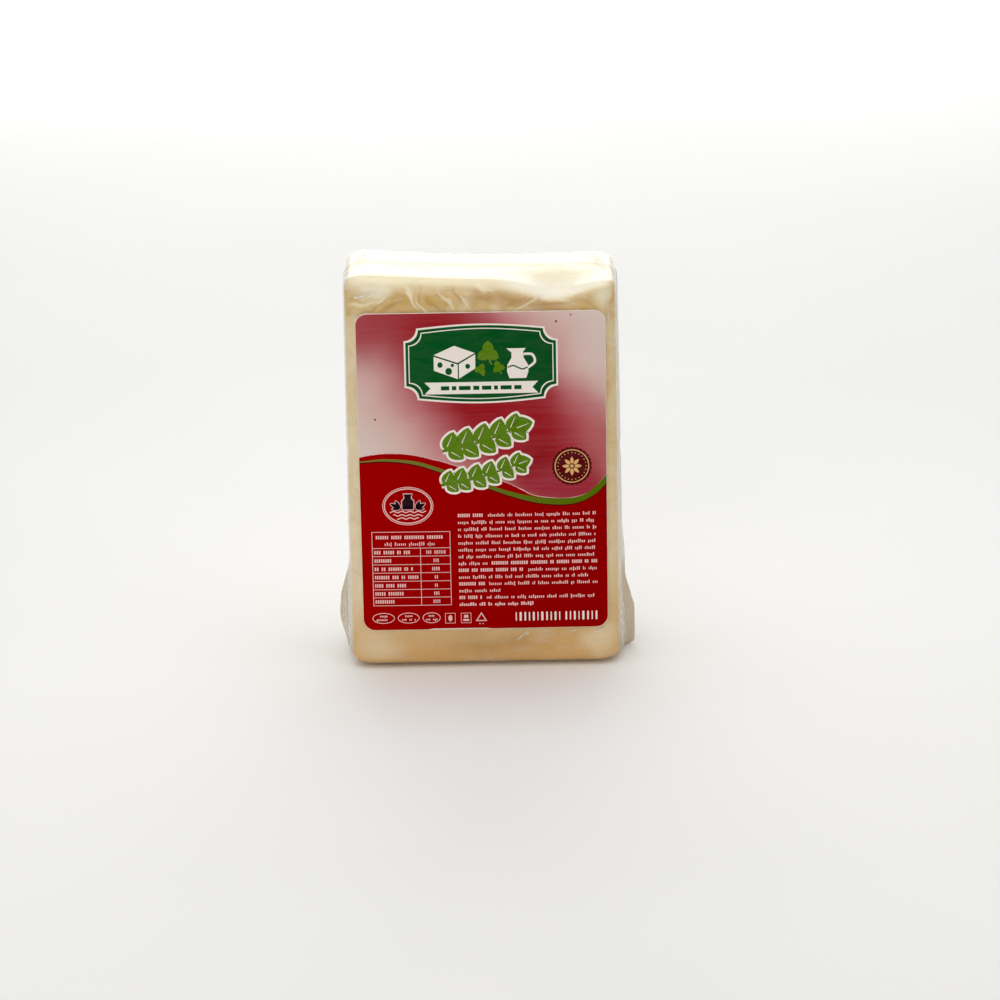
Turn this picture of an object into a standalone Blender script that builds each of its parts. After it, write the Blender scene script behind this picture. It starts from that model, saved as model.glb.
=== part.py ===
"""A block of goat cheese sealed in a clear vacuum bag, standing on its short end, with a printed label
on its front.

Metres, +Z up, front towards -Y. The origin is the middle of the base. The bag and the cheese in it are one
solid: a hand-cut block with soft edges, the bag's flat seal as a thin rim down both sides and a folded flap
on the top, and the seal's two corner ears at the foot. The label is a thin sheet that follows the front.
"""

import math
from typing import NamedTuple

import bmesh
import bpy

# The block of cheese, cut a little wider at its foot than at its top.
HEIGHT = 0.1492
DEPTH = 0.0480
WIDTH_AT_FOOT = 0.0998
WIDTH_AT_TOP = 0.0984

# How far each soft edge reaches in from the side, the front and back, and the top. The foot's is smaller.
EDGE_X = 0.0092
EDGE_Y = 0.0062
EDGE_Z = 0.0078
FOOT_EDGE_Z = 0.0045

# Towards the left and right sides the top's edge is sharper: how far it reaches down there, and where that starts.
EDGE_Z_LEFT = 0.0056
EDGE_Z_RIGHT = 0.0042
EDGE_Z_FULL_TO = 0.0280

# The faces swell a little under the tight film; the foot stays flat.
FRONT_SWELL = 0.0009
SIDE_SWELL = 0.0002
TOP_SWELL = 0.0003

# The top was cut lower on the right, is hollow in its middle, and its front edge is worn down at one place.
TOP_SLANT = 0.0026
TOP_HOLLOW = 0.0018
WORN_EDGE_X = 0.0280
WORN_EDGE_SPREAD = 0.0130
WORN_EDGE_DEPTH = 0.0052

# The bag's seal: a thin rim down both sides of the block, halfway along its depth.
SEAL_Y = 0.0
SEAL_HALF_THICKNESS = 0.0005
SEAL_ROOT = 0.0014
SEAL_ROOT_SHARE = 0.25
SEAL_REACH_LEFT = 0.0003
SEAL_REACH_RIGHT_TOP = 0.0008
SEAL_REACH_RIGHT_FOOT = 0.0015
SEAL_CORNER = 0.0020

# On the top the seal is folded back and lies flat, a low step from the middle to the back edge.
FLAP_RISE = 0.0005
FLAP_END = 0.0185


class Ear(NamedTuple):
    """A corner ear of the seal: how far it stands out, and how that changes with the height."""

    reach: float
    foot_share: float
    full_from: float
    full_to: float
    top: float


# The left ear is a point above the floor; the right one stands on it, below a narrow band.
LEFT_EAR = Ear(reach=0.0043, foot_share=0.35, full_from=0.0145, full_to=0.0165, top=0.0380)
RIGHT_EAR = Ear(reach=0.0034, foot_share=0.95, full_from=0.0060, full_to=0.0140, top=0.0290)
RIGHT_BAND = Ear(reach=0.0008, foot_share=1.00, full_from=0.0010, full_to=0.0360, top=0.0480)

# The film runs straight from each ear to the block: how far to its front and back, at the foot and above it.
EAR_SPREAD_AT_FOOT = 0.0205
EAR_SPREAD_AT_TOP = 0.0040

# Creases that the film presses into the front above the label: (x, z) at both ends, then depth.
CREASES = (
    ((-0.046, 0.1388), (-0.026, 0.1418), 0.0005),
    ((-0.024, 0.1458), (-0.014, 0.1388), 0.0005),
    ((-0.010, 0.1458), (-0.003, 0.1388), 0.0004),
    ((0.013, 0.1388), (0.034, 0.1413), 0.0005),
    ((0.036, 0.1448), (0.046, 0.1378), 0.0004),
)
CREASE_HALF_WIDTH = 0.0026

# The label, on the front face.
LABEL_WIDTH = 0.0900
LABEL_HEIGHT = 0.1200
LABEL_BOTTOM = 0.0150
LABEL_CORNER = 0.0042
LABEL_GAP = 0.0003
LABEL_THICKNESS = 0.0003

# Spacing of the mesh over the flat stretches.
FLAT_STEP = 0.0050
LABEL_STEP = 0.0056

# One more row of the mesh for the sharper edges, this far below the top.
TOP_ROW = 0.0016

CHEESE_COLOUR = (0.76, 0.62, 0.38, 1.0)
LABEL_COLOUR = (0.42, 0.02, 0.03, 1.0)

HALF_WIDTH = WIDTH_AT_FOOT / 2
HALF_DEPTH = DEPTH / 2
HALF_HEIGHT = HEIGHT / 2
LABEL_TOP = LABEL_BOTTOM + LABEL_HEIGHT

# The box's middle stays over the origin: the label stands proud in front, the ears at both sides.
RIGHT_REACH = SEAL_REACH_RIGHT_FOOT + RIGHT_EAR.reach + RIGHT_BAND.reach
SHIFT_X = (LEFT_EAR.reach + SEAL_REACH_LEFT - RIGHT_REACH) / 2
SHIFT_Y = (LABEL_GAP + LABEL_THICKNESS) / 2


def smooth_step(value):
    """0 below 0, 1 above 1, and an even S between them."""
    share = min(1.0, max(0.0, value))
    return share * share * (3 - 2 * share)


def round_share(value):
    """The height of a quarter circle: 1 at or below 0, falling to 0 at 1."""
    share = min(1.0, max(0.0, value))
    return math.sqrt(1 - share * share)


def bell(distance, spread):
    """1 at no distance, fading to nothing over about twice the spread."""
    return math.exp(-((distance / spread) ** 2))


def dome(value, half):
    """1 in the middle of a face and 0 at its two edges."""
    return max(0.0, 1 - (value / half) ** 2)


def top_edge_z(x):
    """How far down the top's soft edge reaches at this place across."""
    at_side = EDGE_Z_LEFT if x < 0 else EDGE_Z_RIGHT
    near_side = smooth_step((abs(x) - EDGE_Z_FULL_TO) / (HALF_WIDTH - EDGE_X - EDGE_Z_FULL_TO))
    return EDGE_Z + (at_side - EDGE_Z) * near_side


def soft_edged(x, y, z):
    """A point of the square box, moved onto the box with soft edges, and its outward way."""
    edges = (EDGE_X, EDGE_Y, FOOT_EDGE_Z if z < 0 else top_edge_z(x))
    halves = (HALF_WIDTH, HALF_DEPTH, HALF_HEIGHT)
    inner = [max(edge - half, min(half - edge, value)) for value, half, edge in zip((x, y, z), halves, edges)]
    outward = [(value - core) / edge for value, core, edge in zip((x, y, z), inner, edges)]
    length = math.sqrt(sum(part * part for part in outward))
    outward = [part / length for part in outward]
    return [core + part * edge for core, part, edge in zip(inner, outward, edges)], outward


def crease_depth(x, z):
    """How deep the creases press in at this place of the front; none of them reaches under the label."""
    depth = 0.0
    for (x0, z0), (x1, z1), full in CREASES:
        run_x, run_z = x1 - x0, z1 - z0
        share = ((x - x0) * run_x + (z - z0) * run_z) / (run_x**2 + run_z**2)
        share = min(1.0, max(0.0, share))
        away = math.hypot(x - x0 - share * run_x, z - z0 - share * run_z)
        depth += full * bell(away, CREASE_HALF_WIDTH)
    return depth * smooth_step((z - LABEL_TOP) / CREASE_HALF_WIDTH)


def flap_rise(y):
    """How high the folded seal lies on the top at this depth."""
    start = smooth_step((y - SEAL_Y + SEAL_ROOT) / SEAL_ROOT)
    end = smooth_step((y - FLAP_END + SEAL_ROOT) / SEAL_ROOT)
    return FLAP_RISE * (start - end)


def shaped(x, y, z):
    """A point of the square box, z from its middle, moved onto the cut block. z comes back from the foot."""
    (px, py, pz), (nx, ny, nz) = soft_edged(x, y, z)
    across, along, up = px / HALF_WIDTH, py / HALF_DEPTH, pz + HALF_HEIGHT
    taper = 1 + (WIDTH_AT_TOP / WIDTH_AT_FOOT - 1) * up / HEIGHT
    swell_y = ny * FRONT_SWELL * dome(px, HALF_WIDTH) * dome(pz, HALF_HEIGHT)
    swell_x = nx * SIDE_SWELL * dome(py, HALF_DEPTH) * dome(pz, HALF_HEIGHT)
    near_top = smooth_step((up - HEIGHT + 2 * EDGE_Z) / (2 * EDGE_Z))
    cut = TOP_SLANT * (1 + across) / 2 + TOP_HOLLOW * dome(px, HALF_WIDTH)
    worn = WORN_EDGE_DEPTH * bell(px - WORN_EDGE_X, WORN_EDGE_SPREAD) * smooth_step(-along)
    rise = TOP_SWELL * dome(px, HALF_WIDTH) * dome(py, HALF_DEPTH) + flap_rise(py)
    pressed = crease_depth(px, up) if ny < 0 else 0.0
    return [
        px * taper + swell_x,
        py + swell_y - ny * pressed,
        up - near_top * (cut + worn) + max(0.0, nz) * rise,
    ]


def rim_share(y):
    """1 on the seal's thin rim, a small share at its root, and 0 on the block."""
    away = abs(y - SEAL_Y)
    if away < (SEAL_HALF_THICKNESS + SEAL_ROOT) / 2:
        return 1.0
    if away < SEAL_ROOT * 1.5:
        return SEAL_ROOT_SHARE
    return 0.0


def ear_reach(ear, up):
    """How far one ear stands out at this height."""
    rise = ear.foot_share + (1 - ear.foot_share) * smooth_step(up / ear.full_from)
    fade = 1 - smooth_step((up - ear.full_to) / (ear.top - ear.full_to))
    return ear.reach * rise * fade


def ear_share(y, up, top):
    """1 along the ears' edge, falling evenly to 0 where the film meets the block."""
    height = min(1.0, up / top)
    spread = EAR_SPREAD_AT_FOOT + (EAR_SPREAD_AT_TOP - EAR_SPREAD_AT_FOOT) * height
    return max(0.0, 1 - abs(y - SEAL_Y) / spread)


def with_seal(x, y, z, point):
    """The block's point moved out onto the seal's rim and its ears, for a point of the box's side or foot."""
    side = -1 if x < 0 else 1
    up = point[2]
    on_side = abs(x) > HALF_WIDTH * 0.999
    if side < 0:
        strip, band = SEAL_REACH_LEFT, 0.0
        ear, top = ear_reach(LEFT_EAR, up), LEFT_EAR.top
    else:
        strip = SEAL_REACH_RIGHT_FOOT + (SEAL_REACH_RIGHT_TOP - SEAL_REACH_RIGHT_FOOT) * up / HEIGHT
        band = ear_reach(RIGHT_BAND, up)
        ear, top = ear_reach(RIGHT_EAR, up), RIGHT_EAR.top
    rim = (strip + band) * rim_share(y)
    share = ear_share(y, up, top)
    square = max(share, rim_share(y))
    from_foot = z + HALF_HEIGHT
    taper = 1 + (WIDTH_AT_TOP / WIDTH_AT_FOOT - 1) * up / HEIGHT
    if not on_side:
        stretch = (ear * share + rim) * (abs(x) / HALF_WIDTH) ** 3
        wide = x * (1 - SEAL_CORNER / HALF_WIDTH) + side * stretch
        return [point[0] + (wide - point[0]) * square, point[1], point[2]]
    if from_foot < FOOT_EDGE_Z:
        inset = SEAL_CORNER * (1 - round_share(1 - from_foot / SEAL_CORNER))
        wide = side * (HALF_WIDTH * taper - inset)
        point = [point[0] + (wide - point[0]) * square, point[1], up + (from_foot - up) * square]
    rim *= round_share(1 - (HEIGHT - from_foot) / top_edge_z(x))
    return [point[0] + side * (ear * share + rim), point[1], point[2]]


def flat_stations(low, high, step):
    """Evenly spaced places from low to high, about a step apart."""
    count = max(1, round((high - low) / step))
    return [low + (high - low) * index / count for index in range(count + 1)]


def stations(half, low_edge, high_edge, step):
    """Where one axis of the box is cut: evenly over the flat, and closer over the soft edges."""
    bends = [math.tan(math.radians(angle)) for angle in (15, 30)]
    low = [low_edge - half - bend * low_edge for bend in bends]
    high = [half - high_edge + bend * high_edge for bend in bends]
    return low + flat_stations(low_edge - half, half - high_edge, step) + high


def slice_mesh(form, normal, places):
    """Cuts the mesh along parallel planes, so that it has rows of points there."""
    for place in places:
        everything = form.verts[:] + form.edges[:] + form.faces[:]
        at = [part * place for part in normal]
        bmesh.ops.bisect_plane(form, geom=everything, plane_co=at, plane_no=normal)


def material(name, colour, roughness):
    """A plain Principled material."""
    made = bpy.data.materials.new(name)
    made.use_nodes = True
    shader = made.node_tree.nodes["Principled BSDF"]
    shader.inputs["Base Color"].default_value = colour
    shader.inputs["Roughness"].default_value = roughness
    shader.inputs["Metallic"].default_value = 0.0
    return made


def new_object(name, form, look, collection):
    """An object of this mesh with this material, shaded smooth, in the collection."""
    mesh = bpy.data.meshes.new(name)
    form.to_mesh(mesh)
    form.free()
    mesh.shade_smooth()
    mesh.set_sharp_from_angle(angle=math.radians(50))
    mesh.materials.append(look)
    made = bpy.data.objects.new(name, mesh)
    collection.objects.link(made)
    return made


def build_pack(collection):
    """The sealed bag with the cheese in it: a cut box, moved point by point onto the block and its seal."""
    form = bmesh.new()
    bmesh.ops.create_cube(form, size=1.0)
    bmesh.ops.scale(form, vec=(2 * HALF_WIDTH, 2 * HALF_DEPTH, 2 * HALF_HEIGHT), verts=form.verts)
    seal_rows = [SEAL_Y + side * away for away in (SEAL_HALF_THICKNESS, SEAL_ROOT) for side in (-1, 1)]
    depth_rows = stations(HALF_DEPTH, EDGE_Y, EDGE_Y, FLAT_STEP)
    clear_rows = [y for y in depth_rows if abs(y - SEAL_Y) > 1.5 * SEAL_ROOT]
    slice_mesh(form, (1, 0, 0), stations(HALF_WIDTH, EDGE_X, EDGE_X, FLAT_STEP))
    slice_mesh(form, (0, 1, 0), clear_rows + seal_rows + [FLAP_END])
    slice_mesh(form, (0, 0, 1), stations(HALF_HEIGHT, FOOT_EDGE_Z, EDGE_Z, FLAT_STEP) + [HALF_HEIGHT - TOP_ROW])
    for vert in form.verts:
        x, y, z = vert.co
        point = shaped(x, y, z)
        if abs(x) > HALF_WIDTH * 0.999 or z < -HALF_HEIGHT * 0.999:
            point = with_seal(x, y, z, point)
        vert.co = (point[0] + SHIFT_X, point[1] + SHIFT_Y, max(0.0, point[2]))
    return new_object("cheese_pack", form, material("cheese_in_film", CHEESE_COLOUR, 0.28), collection)


def front_y(x, up):
    """The y of the block's front at a place of it."""
    return shaped(x, -HALF_DEPTH, up - HALF_HEIGHT)[1]


def round_corner(x, z):
    """A point of the square label, from its middle, moved so that the label's corners are round."""
    square_x, square_z = LABEL_WIDTH / 2 - LABEL_CORNER, LABEL_HEIGHT / 2 - LABEL_CORNER
    over_x, over_z = abs(x) - square_x, abs(z) - square_z
    if over_x <= 0 or over_z <= 0:
        return x, z
    pull = max(over_x, over_z) / math.hypot(over_x, over_z)
    return math.copysign(square_x + over_x * pull, x), math.copysign(square_z + over_z * pull, z)


def build_label(collection):
    """The label: a sheet with round corners, laid over the front just clear of the film."""
    form = bmesh.new()
    bmesh.ops.create_grid(form, x_segments=1, y_segments=1, size=0.5)
    bmesh.ops.scale(form, vec=(LABEL_WIDTH, LABEL_HEIGHT, 1), verts=form.verts)
    slice_mesh(form, (1, 0, 0), stations(LABEL_WIDTH / 2, LABEL_CORNER, LABEL_CORNER, LABEL_STEP))
    slice_mesh(form, (0, 1, 0), stations(LABEL_HEIGHT / 2, LABEL_CORNER, LABEL_CORNER, LABEL_STEP))
    middle = LABEL_BOTTOM + LABEL_HEIGHT / 2
    for vert in form.verts:
        x, z = round_corner(vert.co.x, vert.co.y)
        vert.co = (x + SHIFT_X, front_y(x, z + middle) - LABEL_GAP + SHIFT_Y, z + middle)
    label = new_object("label", form, material("label_print", LABEL_COLOUR, 0.35), collection)
    sheet = label.modifiers.new("sheet", "SOLIDIFY")
    sheet.thickness = LABEL_THICKNESS
    sheet.offset = 1.0


def clear_scene():
    """Removes whatever objects the scene starts with."""
    for old in list(bpy.data.objects):
        bpy.data.objects.remove(old)


def main():
    clear_scene()
    collection = bpy.data.collections.new("goat_cheese")
    bpy.context.scene.collection.children.link(collection)
    build_pack(collection)
    build_label(collection)


main()
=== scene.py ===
"""Looks for a block of goat cheese in a clear vacuum bag with a printed label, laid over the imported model."""

import logging
import math
import random
from collections.abc import Callable, Sequence
from dataclasses import dataclass, field
from enum import Enum
from itertools import product

import bmesh
import bpy
from mathutils import Matrix, Vector, noise


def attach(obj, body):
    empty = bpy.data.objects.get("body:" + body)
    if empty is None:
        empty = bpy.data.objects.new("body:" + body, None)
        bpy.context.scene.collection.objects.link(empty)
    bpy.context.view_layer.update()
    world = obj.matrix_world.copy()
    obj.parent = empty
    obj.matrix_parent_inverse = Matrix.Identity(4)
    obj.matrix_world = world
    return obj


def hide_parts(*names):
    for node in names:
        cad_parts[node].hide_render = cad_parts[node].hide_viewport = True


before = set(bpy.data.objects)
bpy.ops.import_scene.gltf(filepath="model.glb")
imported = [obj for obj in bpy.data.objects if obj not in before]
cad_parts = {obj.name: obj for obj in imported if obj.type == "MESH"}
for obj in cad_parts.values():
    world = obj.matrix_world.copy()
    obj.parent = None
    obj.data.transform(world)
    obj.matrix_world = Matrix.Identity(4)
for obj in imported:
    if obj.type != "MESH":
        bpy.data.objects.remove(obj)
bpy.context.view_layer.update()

log = logging.getLogger("goat_cheese")

Colour = tuple[float, float, float, float]
Loop = list[tuple[float, float]]
Point = tuple[float, float]
Span = tuple[float, float]
Triple = tuple[float, float, float]
Face = tuple[int, ...]
Socket = bpy.types.NodeSocket
Material = bpy.types.Material
Mesh = bpy.types.Mesh

MM = 0.001
SHIFT_X = -0.00055
SHIFT_Y = 0.0003
LABEL_FOOT = 15.0


def srgb(red: int, green: int, blue: int) -> Colour:
    """A colour given as a screen shows it, 0 to 255, as the opaque linear colour that the shaders use."""
    shares = [part / 255 for part in (red, green, blue)]
    return (*(part / 12.92 if part <= 0.04045 else ((part + 0.055) / 1.055) ** 2.4 for part in shares), 1.0)


def smooth_step(value: float) -> float:
    """0 below 0, 1 above 1, and an even S between them."""
    share = min(1.0, max(0.0, value))
    return share * share * (3 - 2 * share)


def round_share(value: float) -> float:
    """The height of a quarter circle: 1 at or below 0, falling to 0 at 1."""
    share = min(1.0, max(0.0, value))
    return math.sqrt(1 - share * share)


def bell(distance: float, spread: float) -> float:
    """1 at no distance, fading to nothing over about twice the spread."""
    return math.exp(-((distance / spread) ** 2))


def dome(value: float, half: float) -> float:
    """1 in the middle of a face and 0 at its two edges."""
    return max(0.0, 1 - (value / half) ** 2)


def away_from(a: float, b: float, start: Point, end: Point) -> float:
    """How far a place is from a straight stretch.

    Args:
        a: The place's first coordinate.
        b: The place's second coordinate.
        start: One end of the stretch.
        end: Its other end.

    Returns:
        The distance, in the unit of the coordinates.
    """
    run_a, run_b = end[0] - start[0], end[1] - start[1]
    share = ((a - start[0]) * run_a + (b - start[1]) * run_b) / (run_a**2 + run_b**2)
    share = min(1.0, max(0.0, share))
    return math.hypot(a - start[0] - share * run_a, b - start[1] - share * run_b)


# The form of the block and its bag


@dataclass(frozen=True)
class Ear:
    """A corner ear of the bag's seal, with the sizes that the CAD solid has."""

    reach: float
    foot_share: float
    full_from: float
    full_to: float
    top: float

    def reach_at(self, up: float) -> float:
        """How far the ear stands out at a height over the floor, in metres."""
        rise = self.foot_share + (1 - self.foot_share) * smooth_step(up / self.full_from)
        return self.reach * rise * (1 - smooth_step((up - self.full_to) / (self.top - self.full_to)))


@dataclass(frozen=True)
class Crease:
    """A shallow dent that the tight film presses into a face, between two places of it, in metres."""

    start: Point
    end: Point
    depth: float
    half_width: float = 0.0026

    def depth_at(self, a: float, b: float) -> float:
        """How deep it is at a place of the face."""
        return self.depth * bell(away_from(a, b, self.start, self.end), self.half_width)


def dent(creases: Sequence[Crease], a: float, b: float) -> float:
    """How deep a face's creases are together at a place of it."""
    return sum(crease.depth_at(a, b) for crease in creases)


class Side(Enum):
    """The faces of the bag that carry folds."""

    FRONT = "front"
    BACK = "back"
    LEFT = "left"
    RIGHT = "right"
    TOP = "top"


MAIN_CREASES = (
    Crease((-0.046, 0.1388), (-0.026, 0.1418), 0.0005),
    Crease((-0.024, 0.1458), (-0.014, 0.1388), 0.0005),
    Crease((-0.010, 0.1458), (-0.003, 0.1388), 0.0004),
    Crease((0.013, 0.1388), (0.034, 0.1413), 0.0005),
    Crease((0.036, 0.1448), (0.046, 0.1378), 0.0004),
)

FINE_CREASES = (
    Crease((-0.0500, 0.1036), (-0.0455, 0.1038), 0.00024, 0.0009),
    Crease((-0.0500, 0.0865), (-0.0455, 0.0863), 0.00020, 0.0009),
    Crease((-0.0500, 0.0470), (-0.0460, 0.0476), 0.00016, 0.0010),
    Crease((0.0460, 0.1290), (0.0495, 0.1330), 0.00025, 0.0011),
    Crease((0.0400, 0.1440), (0.0440, 0.1400), 0.00030, 0.0011),
    Crease((0.0430, 0.1450), (0.0470, 0.1410), 0.00028, 0.0010),
    Crease((0.0462, 0.0980), (0.0496, 0.0990), 0.00018, 0.0010),
    Crease((0.0462, 0.0560), (0.0496, 0.0552), 0.00018, 0.0010),
    Crease((-0.0400, 0.0110), (-0.0250, 0.0080), 0.00030, 0.0016),
    Crease((0.0060, 0.0090), (0.0180, 0.0118), 0.00030, 0.0016),
    Crease((0.0340, 0.0120), (0.0450, 0.0090), 0.00030, 0.0014),
)


@dataclass(frozen=True)
class CutBlock:
    """The hand-cut block and the bag drawn over it, with the sizes that the CAD solid has."""

    height: float = 0.1492
    depth: float = 0.0480
    width_at_foot: float = 0.0998
    width_at_top: float = 0.0984
    edge_x: float = 0.0092
    edge_y: float = 0.0062
    edge_z: float = 0.0078
    foot_edge_z: float = 0.0045
    edge_z_left: float = 0.0056
    edge_z_right: float = 0.0042
    edge_z_full_to: float = 0.0280
    front_swell: float = 0.0009
    side_swell: float = 0.0002
    top_swell: float = 0.0003
    top_slant: float = 0.0026
    top_hollow: float = 0.0018
    worn_edge_x: float = 0.0280
    worn_edge_spread: float = 0.0130
    worn_edge_depth: float = 0.0052
    seal_root: float = 0.0014
    seal_half_thickness: float = 0.0005
    seal_root_share: float = 0.25
    seal_reach_left: float = 0.0003
    seal_reach_right_top: float = 0.0008
    seal_reach_right_foot: float = 0.0015
    seal_corner: float = 0.0020
    flap_rise: float = 0.0005
    flap_end: float = 0.0185
    left_ear: Ear = Ear(0.0043, 0.35, 0.0145, 0.0165, 0.0380)
    right_ear: Ear = Ear(0.0034, 0.95, 0.0060, 0.0140, 0.0290)
    right_band: Ear = Ear(0.0008, 1.00, 0.0010, 0.0360, 0.0480)
    ear_spread_at_foot: float = 0.0205
    ear_spread_at_top: float = 0.0040
    label_top: float = 0.1350
    shift_x: float = SHIFT_X
    shift_y: float = SHIFT_Y
    side_creases: tuple[Crease, ...] = ()
    back_creases: tuple[Crease, ...] = ()
    top_creases: tuple[Crease, ...] = ()

    @property
    def halves(self) -> Triple:
        """Half the square box on each axis."""
        return self.width_at_foot / 2, self.depth / 2, self.height / 2

    def top_edge_z(self, x: float) -> float:
        """How far down the top's soft edge reaches at a place across: less towards both sides.

        Args:
            x: The place across on the square box.

        Returns:
            The reach in metres.
        """
        at_side = self.edge_z_left if x < 0 else self.edge_z_right
        run = self.halves[0] - self.edge_x - self.edge_z_full_to
        return self.edge_z + (at_side - self.edge_z) * smooth_step((abs(x) - self.edge_z_full_to) / run)

    def soft_edged(self, x: float, y: float, z: float) -> tuple[list[float], list[float]]:
        """Moves a point of the square box onto the box with soft edges.

        Args:
            x: Its place across.
            y: Its place in depth.
            z: Its place up, from the middle.

        Returns:
            The moved point and its outward way.
        """
        edges = (self.edge_x, self.edge_y, self.foot_edge_z if z < 0 else self.top_edge_z(x))
        rows = list(zip((x, y, z), self.halves, edges))
        inner = [max(edge - half, min(half - edge, at)) for at, half, edge in rows]
        outward = [(at - core) / edge for at, core, edge in zip((x, y, z), inner, edges)]
        length = math.sqrt(sum(part * part for part in outward))
        outward = [part / length for part in outward]
        return [core + part * edge for core, part, edge in zip(inner, outward, edges)], outward

    def front_dent(self, x: float, up: float, fine: bool) -> float:
        """How deep the front's creases are, with the small ones if fine; the main ones end at the label."""
        main = dent(MAIN_CREASES, x, up) * smooth_step((up - self.label_top) / MAIN_CREASES[0].half_width)
        return main + (dent(FINE_CREASES, x, up) if fine else 0.0)

    def flap_at(self, y: float) -> float:
        """How high the folded seal lies on the top at this depth."""
        start = smooth_step((y + self.seal_root) / self.seal_root)
        return self.flap_rise * (start - smooth_step((y - self.flap_end + self.seal_root) / self.seal_root))

    def shaped(self, x: float, y: float, z: float, fine: bool = False) -> list[float]:
        """Moves a point of the square box onto the cut block.

        Args:
            x: Its place across.
            y: Its place in depth.
            z: Its place up, from the middle.
            fine: Whether the film's small creases are pressed in.

        Returns:
            The point, its height from the foot.
        """
        half_x, half_y, half_z = self.halves
        (px, py, pz), (nx, ny, nz) = self.soft_edged(x, y, z)
        across, along, up = px / half_x, py / half_y, pz + half_z
        taper = 1 + (self.width_at_top / self.width_at_foot - 1) * up / self.height
        swell_y = ny * self.front_swell * dome(px, half_x) * dome(pz, half_z)
        swell_x = nx * self.side_swell * dome(py, half_y) * dome(pz, half_z)
        near_top = smooth_step((up - self.height + 2 * self.edge_z) / (2 * self.edge_z))
        cut = self.top_slant * (1 + across) / 2 + self.top_hollow * dome(px, half_x)
        worn = self.worn_edge_depth * bell(px - self.worn_edge_x, self.worn_edge_spread) * smooth_step(-along)
        rise = self.top_swell * dome(px, half_x) * dome(py, half_y) + self.flap_at(py)
        pressed = self.front_dent(px, up, fine) if ny < 0 else 0.0
        if fine and ny > 0:
            pressed = dent(self.back_creases, px, up)
        side_dent = dent(self.side_creases, py, up) if fine else 0.0
        top_dent = dent(self.top_creases, px, py) if fine and nz > 0 else 0.0
        return [
            px * taper + swell_x - nx * side_dent,
            py + swell_y - ny * pressed,
            up - near_top * (cut + worn) + max(0.0, nz) * (rise - top_dent),
        ]

    def rim_share(self, y: float) -> float:
        """How much of the seal's rim stands at this depth: all on the rim, and less down its root.

        Args:
            y: The place in depth.

        Returns:
            A share from 0 to 1.
        """
        away = abs(y)
        if away <= self.seal_half_thickness:
            return 1.0
        if away <= self.seal_root:
            run = self.seal_root - self.seal_half_thickness
            return 1 - (1 - self.seal_root_share) * (away - self.seal_half_thickness) / run
        return max(0.0, self.seal_root_share * (1 - (away - self.seal_root) / (0.5 * self.seal_root)))

    def ear_share(self, y: float, up: float, top: float) -> float:
        """1 on an ear's edge, falling to 0 where the film meets the block; top is where the ear ends."""
        run = (self.ear_spread_at_top - self.ear_spread_at_foot) * min(1.0, up / top)
        return max(0.0, 1 - abs(y) / (self.ear_spread_at_foot + run))

    def with_seal(self, x: float, y: float, z: float, point: list[float]) -> list[float]:
        """Moves the block's point out onto the seal's rim and its ears, for a point of a side or the foot.

        Args:
            x: The point's place across on the square box.
            y: Its place in depth there.
            z: Its place up there, from the middle.
            point: The block's point.

        Returns:
            The moved point.
        """
        half_x, _, half_z = self.halves
        side = -1 if x < 0 else 1
        up = point[2]
        if side < 0:
            strip, band, ear_form = self.seal_reach_left, 0.0, self.left_ear
        else:
            run = self.seal_reach_right_top - self.seal_reach_right_foot
            strip, ear_form = self.seal_reach_right_foot + run * up / self.height, self.right_ear
            band = self.right_band.reach_at(up)
        ear = ear_form.reach_at(up)
        rim = (strip + band) * self.rim_share(y)
        share = self.ear_share(y, up, ear_form.top)
        square = max(share, self.rim_share(y))
        from_foot = z + half_z
        taper = 1 + (self.width_at_top / self.width_at_foot - 1) * up / self.height
        if abs(x) <= half_x * 0.999:
            stretch = (ear * share + rim) * (abs(x) / half_x) ** 3
            wide = x * (1 - self.seal_corner / half_x) + side * stretch
            return [point[0] + (wide - point[0]) * square, point[1], point[2]]
        if from_foot < self.foot_edge_z:
            inset = self.seal_corner * (1 - round_share(1 - from_foot / self.seal_corner))
            wide = side * (half_x * taper - inset)
            point = [point[0] + (wide - point[0]) * square, point[1], up + (from_foot - up) * square]
        rim *= round_share(1 - (self.height - from_foot) / self.top_edge_z(x))
        return [point[0] + side * (ear * share + rim), point[1], point[2]]

    def placed(self, point: Sequence[float]) -> Vector:
        """The point in the CAD frame."""
        return Vector((point[0] + self.shift_x, point[1] + self.shift_y, max(0.0, point[2])))

    def bag_point(self, x: float, y: float, z: float) -> Vector:
        """The bag's point for a point of the square box, in the CAD frame.

        Args:
            x: Its place across.
            y: Its place in depth.
            z: Its place up, from the middle.

        Returns:
            The point in metres.
        """
        point = self.shaped(x, y, z, fine=True)
        if abs(x) > self.halves[0] * 0.999 or z < -self.halves[2] * 0.999:
            point = self.with_seal(x, y, z, point)
        return self.placed(point)

    def on_face(self, side: Side, a: float, b: float, over: float) -> Vector:
        """A place on one face of the bag, in the CAD frame.

        Args:
            side: The face.
            a: The place across the front, back or top, or in depth on a side.
            b: The place up, or in depth on the top.
            over: How far over the film it lies.

        Returns:
            The point in metres.
        """
        half_x, half_y, half_z = self.halves
        if side is Side.TOP:
            return self.bag_point(a, b, half_z) + Vector((0.0, 0.0, over))
        way = -1 if side in (Side.FRONT, Side.LEFT) else 1
        if side in (Side.FRONT, Side.BACK):
            return self.bag_point(a, way * half_y, b - half_z) + Vector((0.0, way * over, 0.0))
        return self.bag_point(way * half_x, a, b - half_z) + Vector((way * over, 0.0, 0.0))

    def front_y(self, x: float, up: float) -> float:
        """The depth of the block's front at a place of it, in the block's own frame."""
        return self.shaped(x, -self.halves[1], up - self.halves[2])[1]


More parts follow.
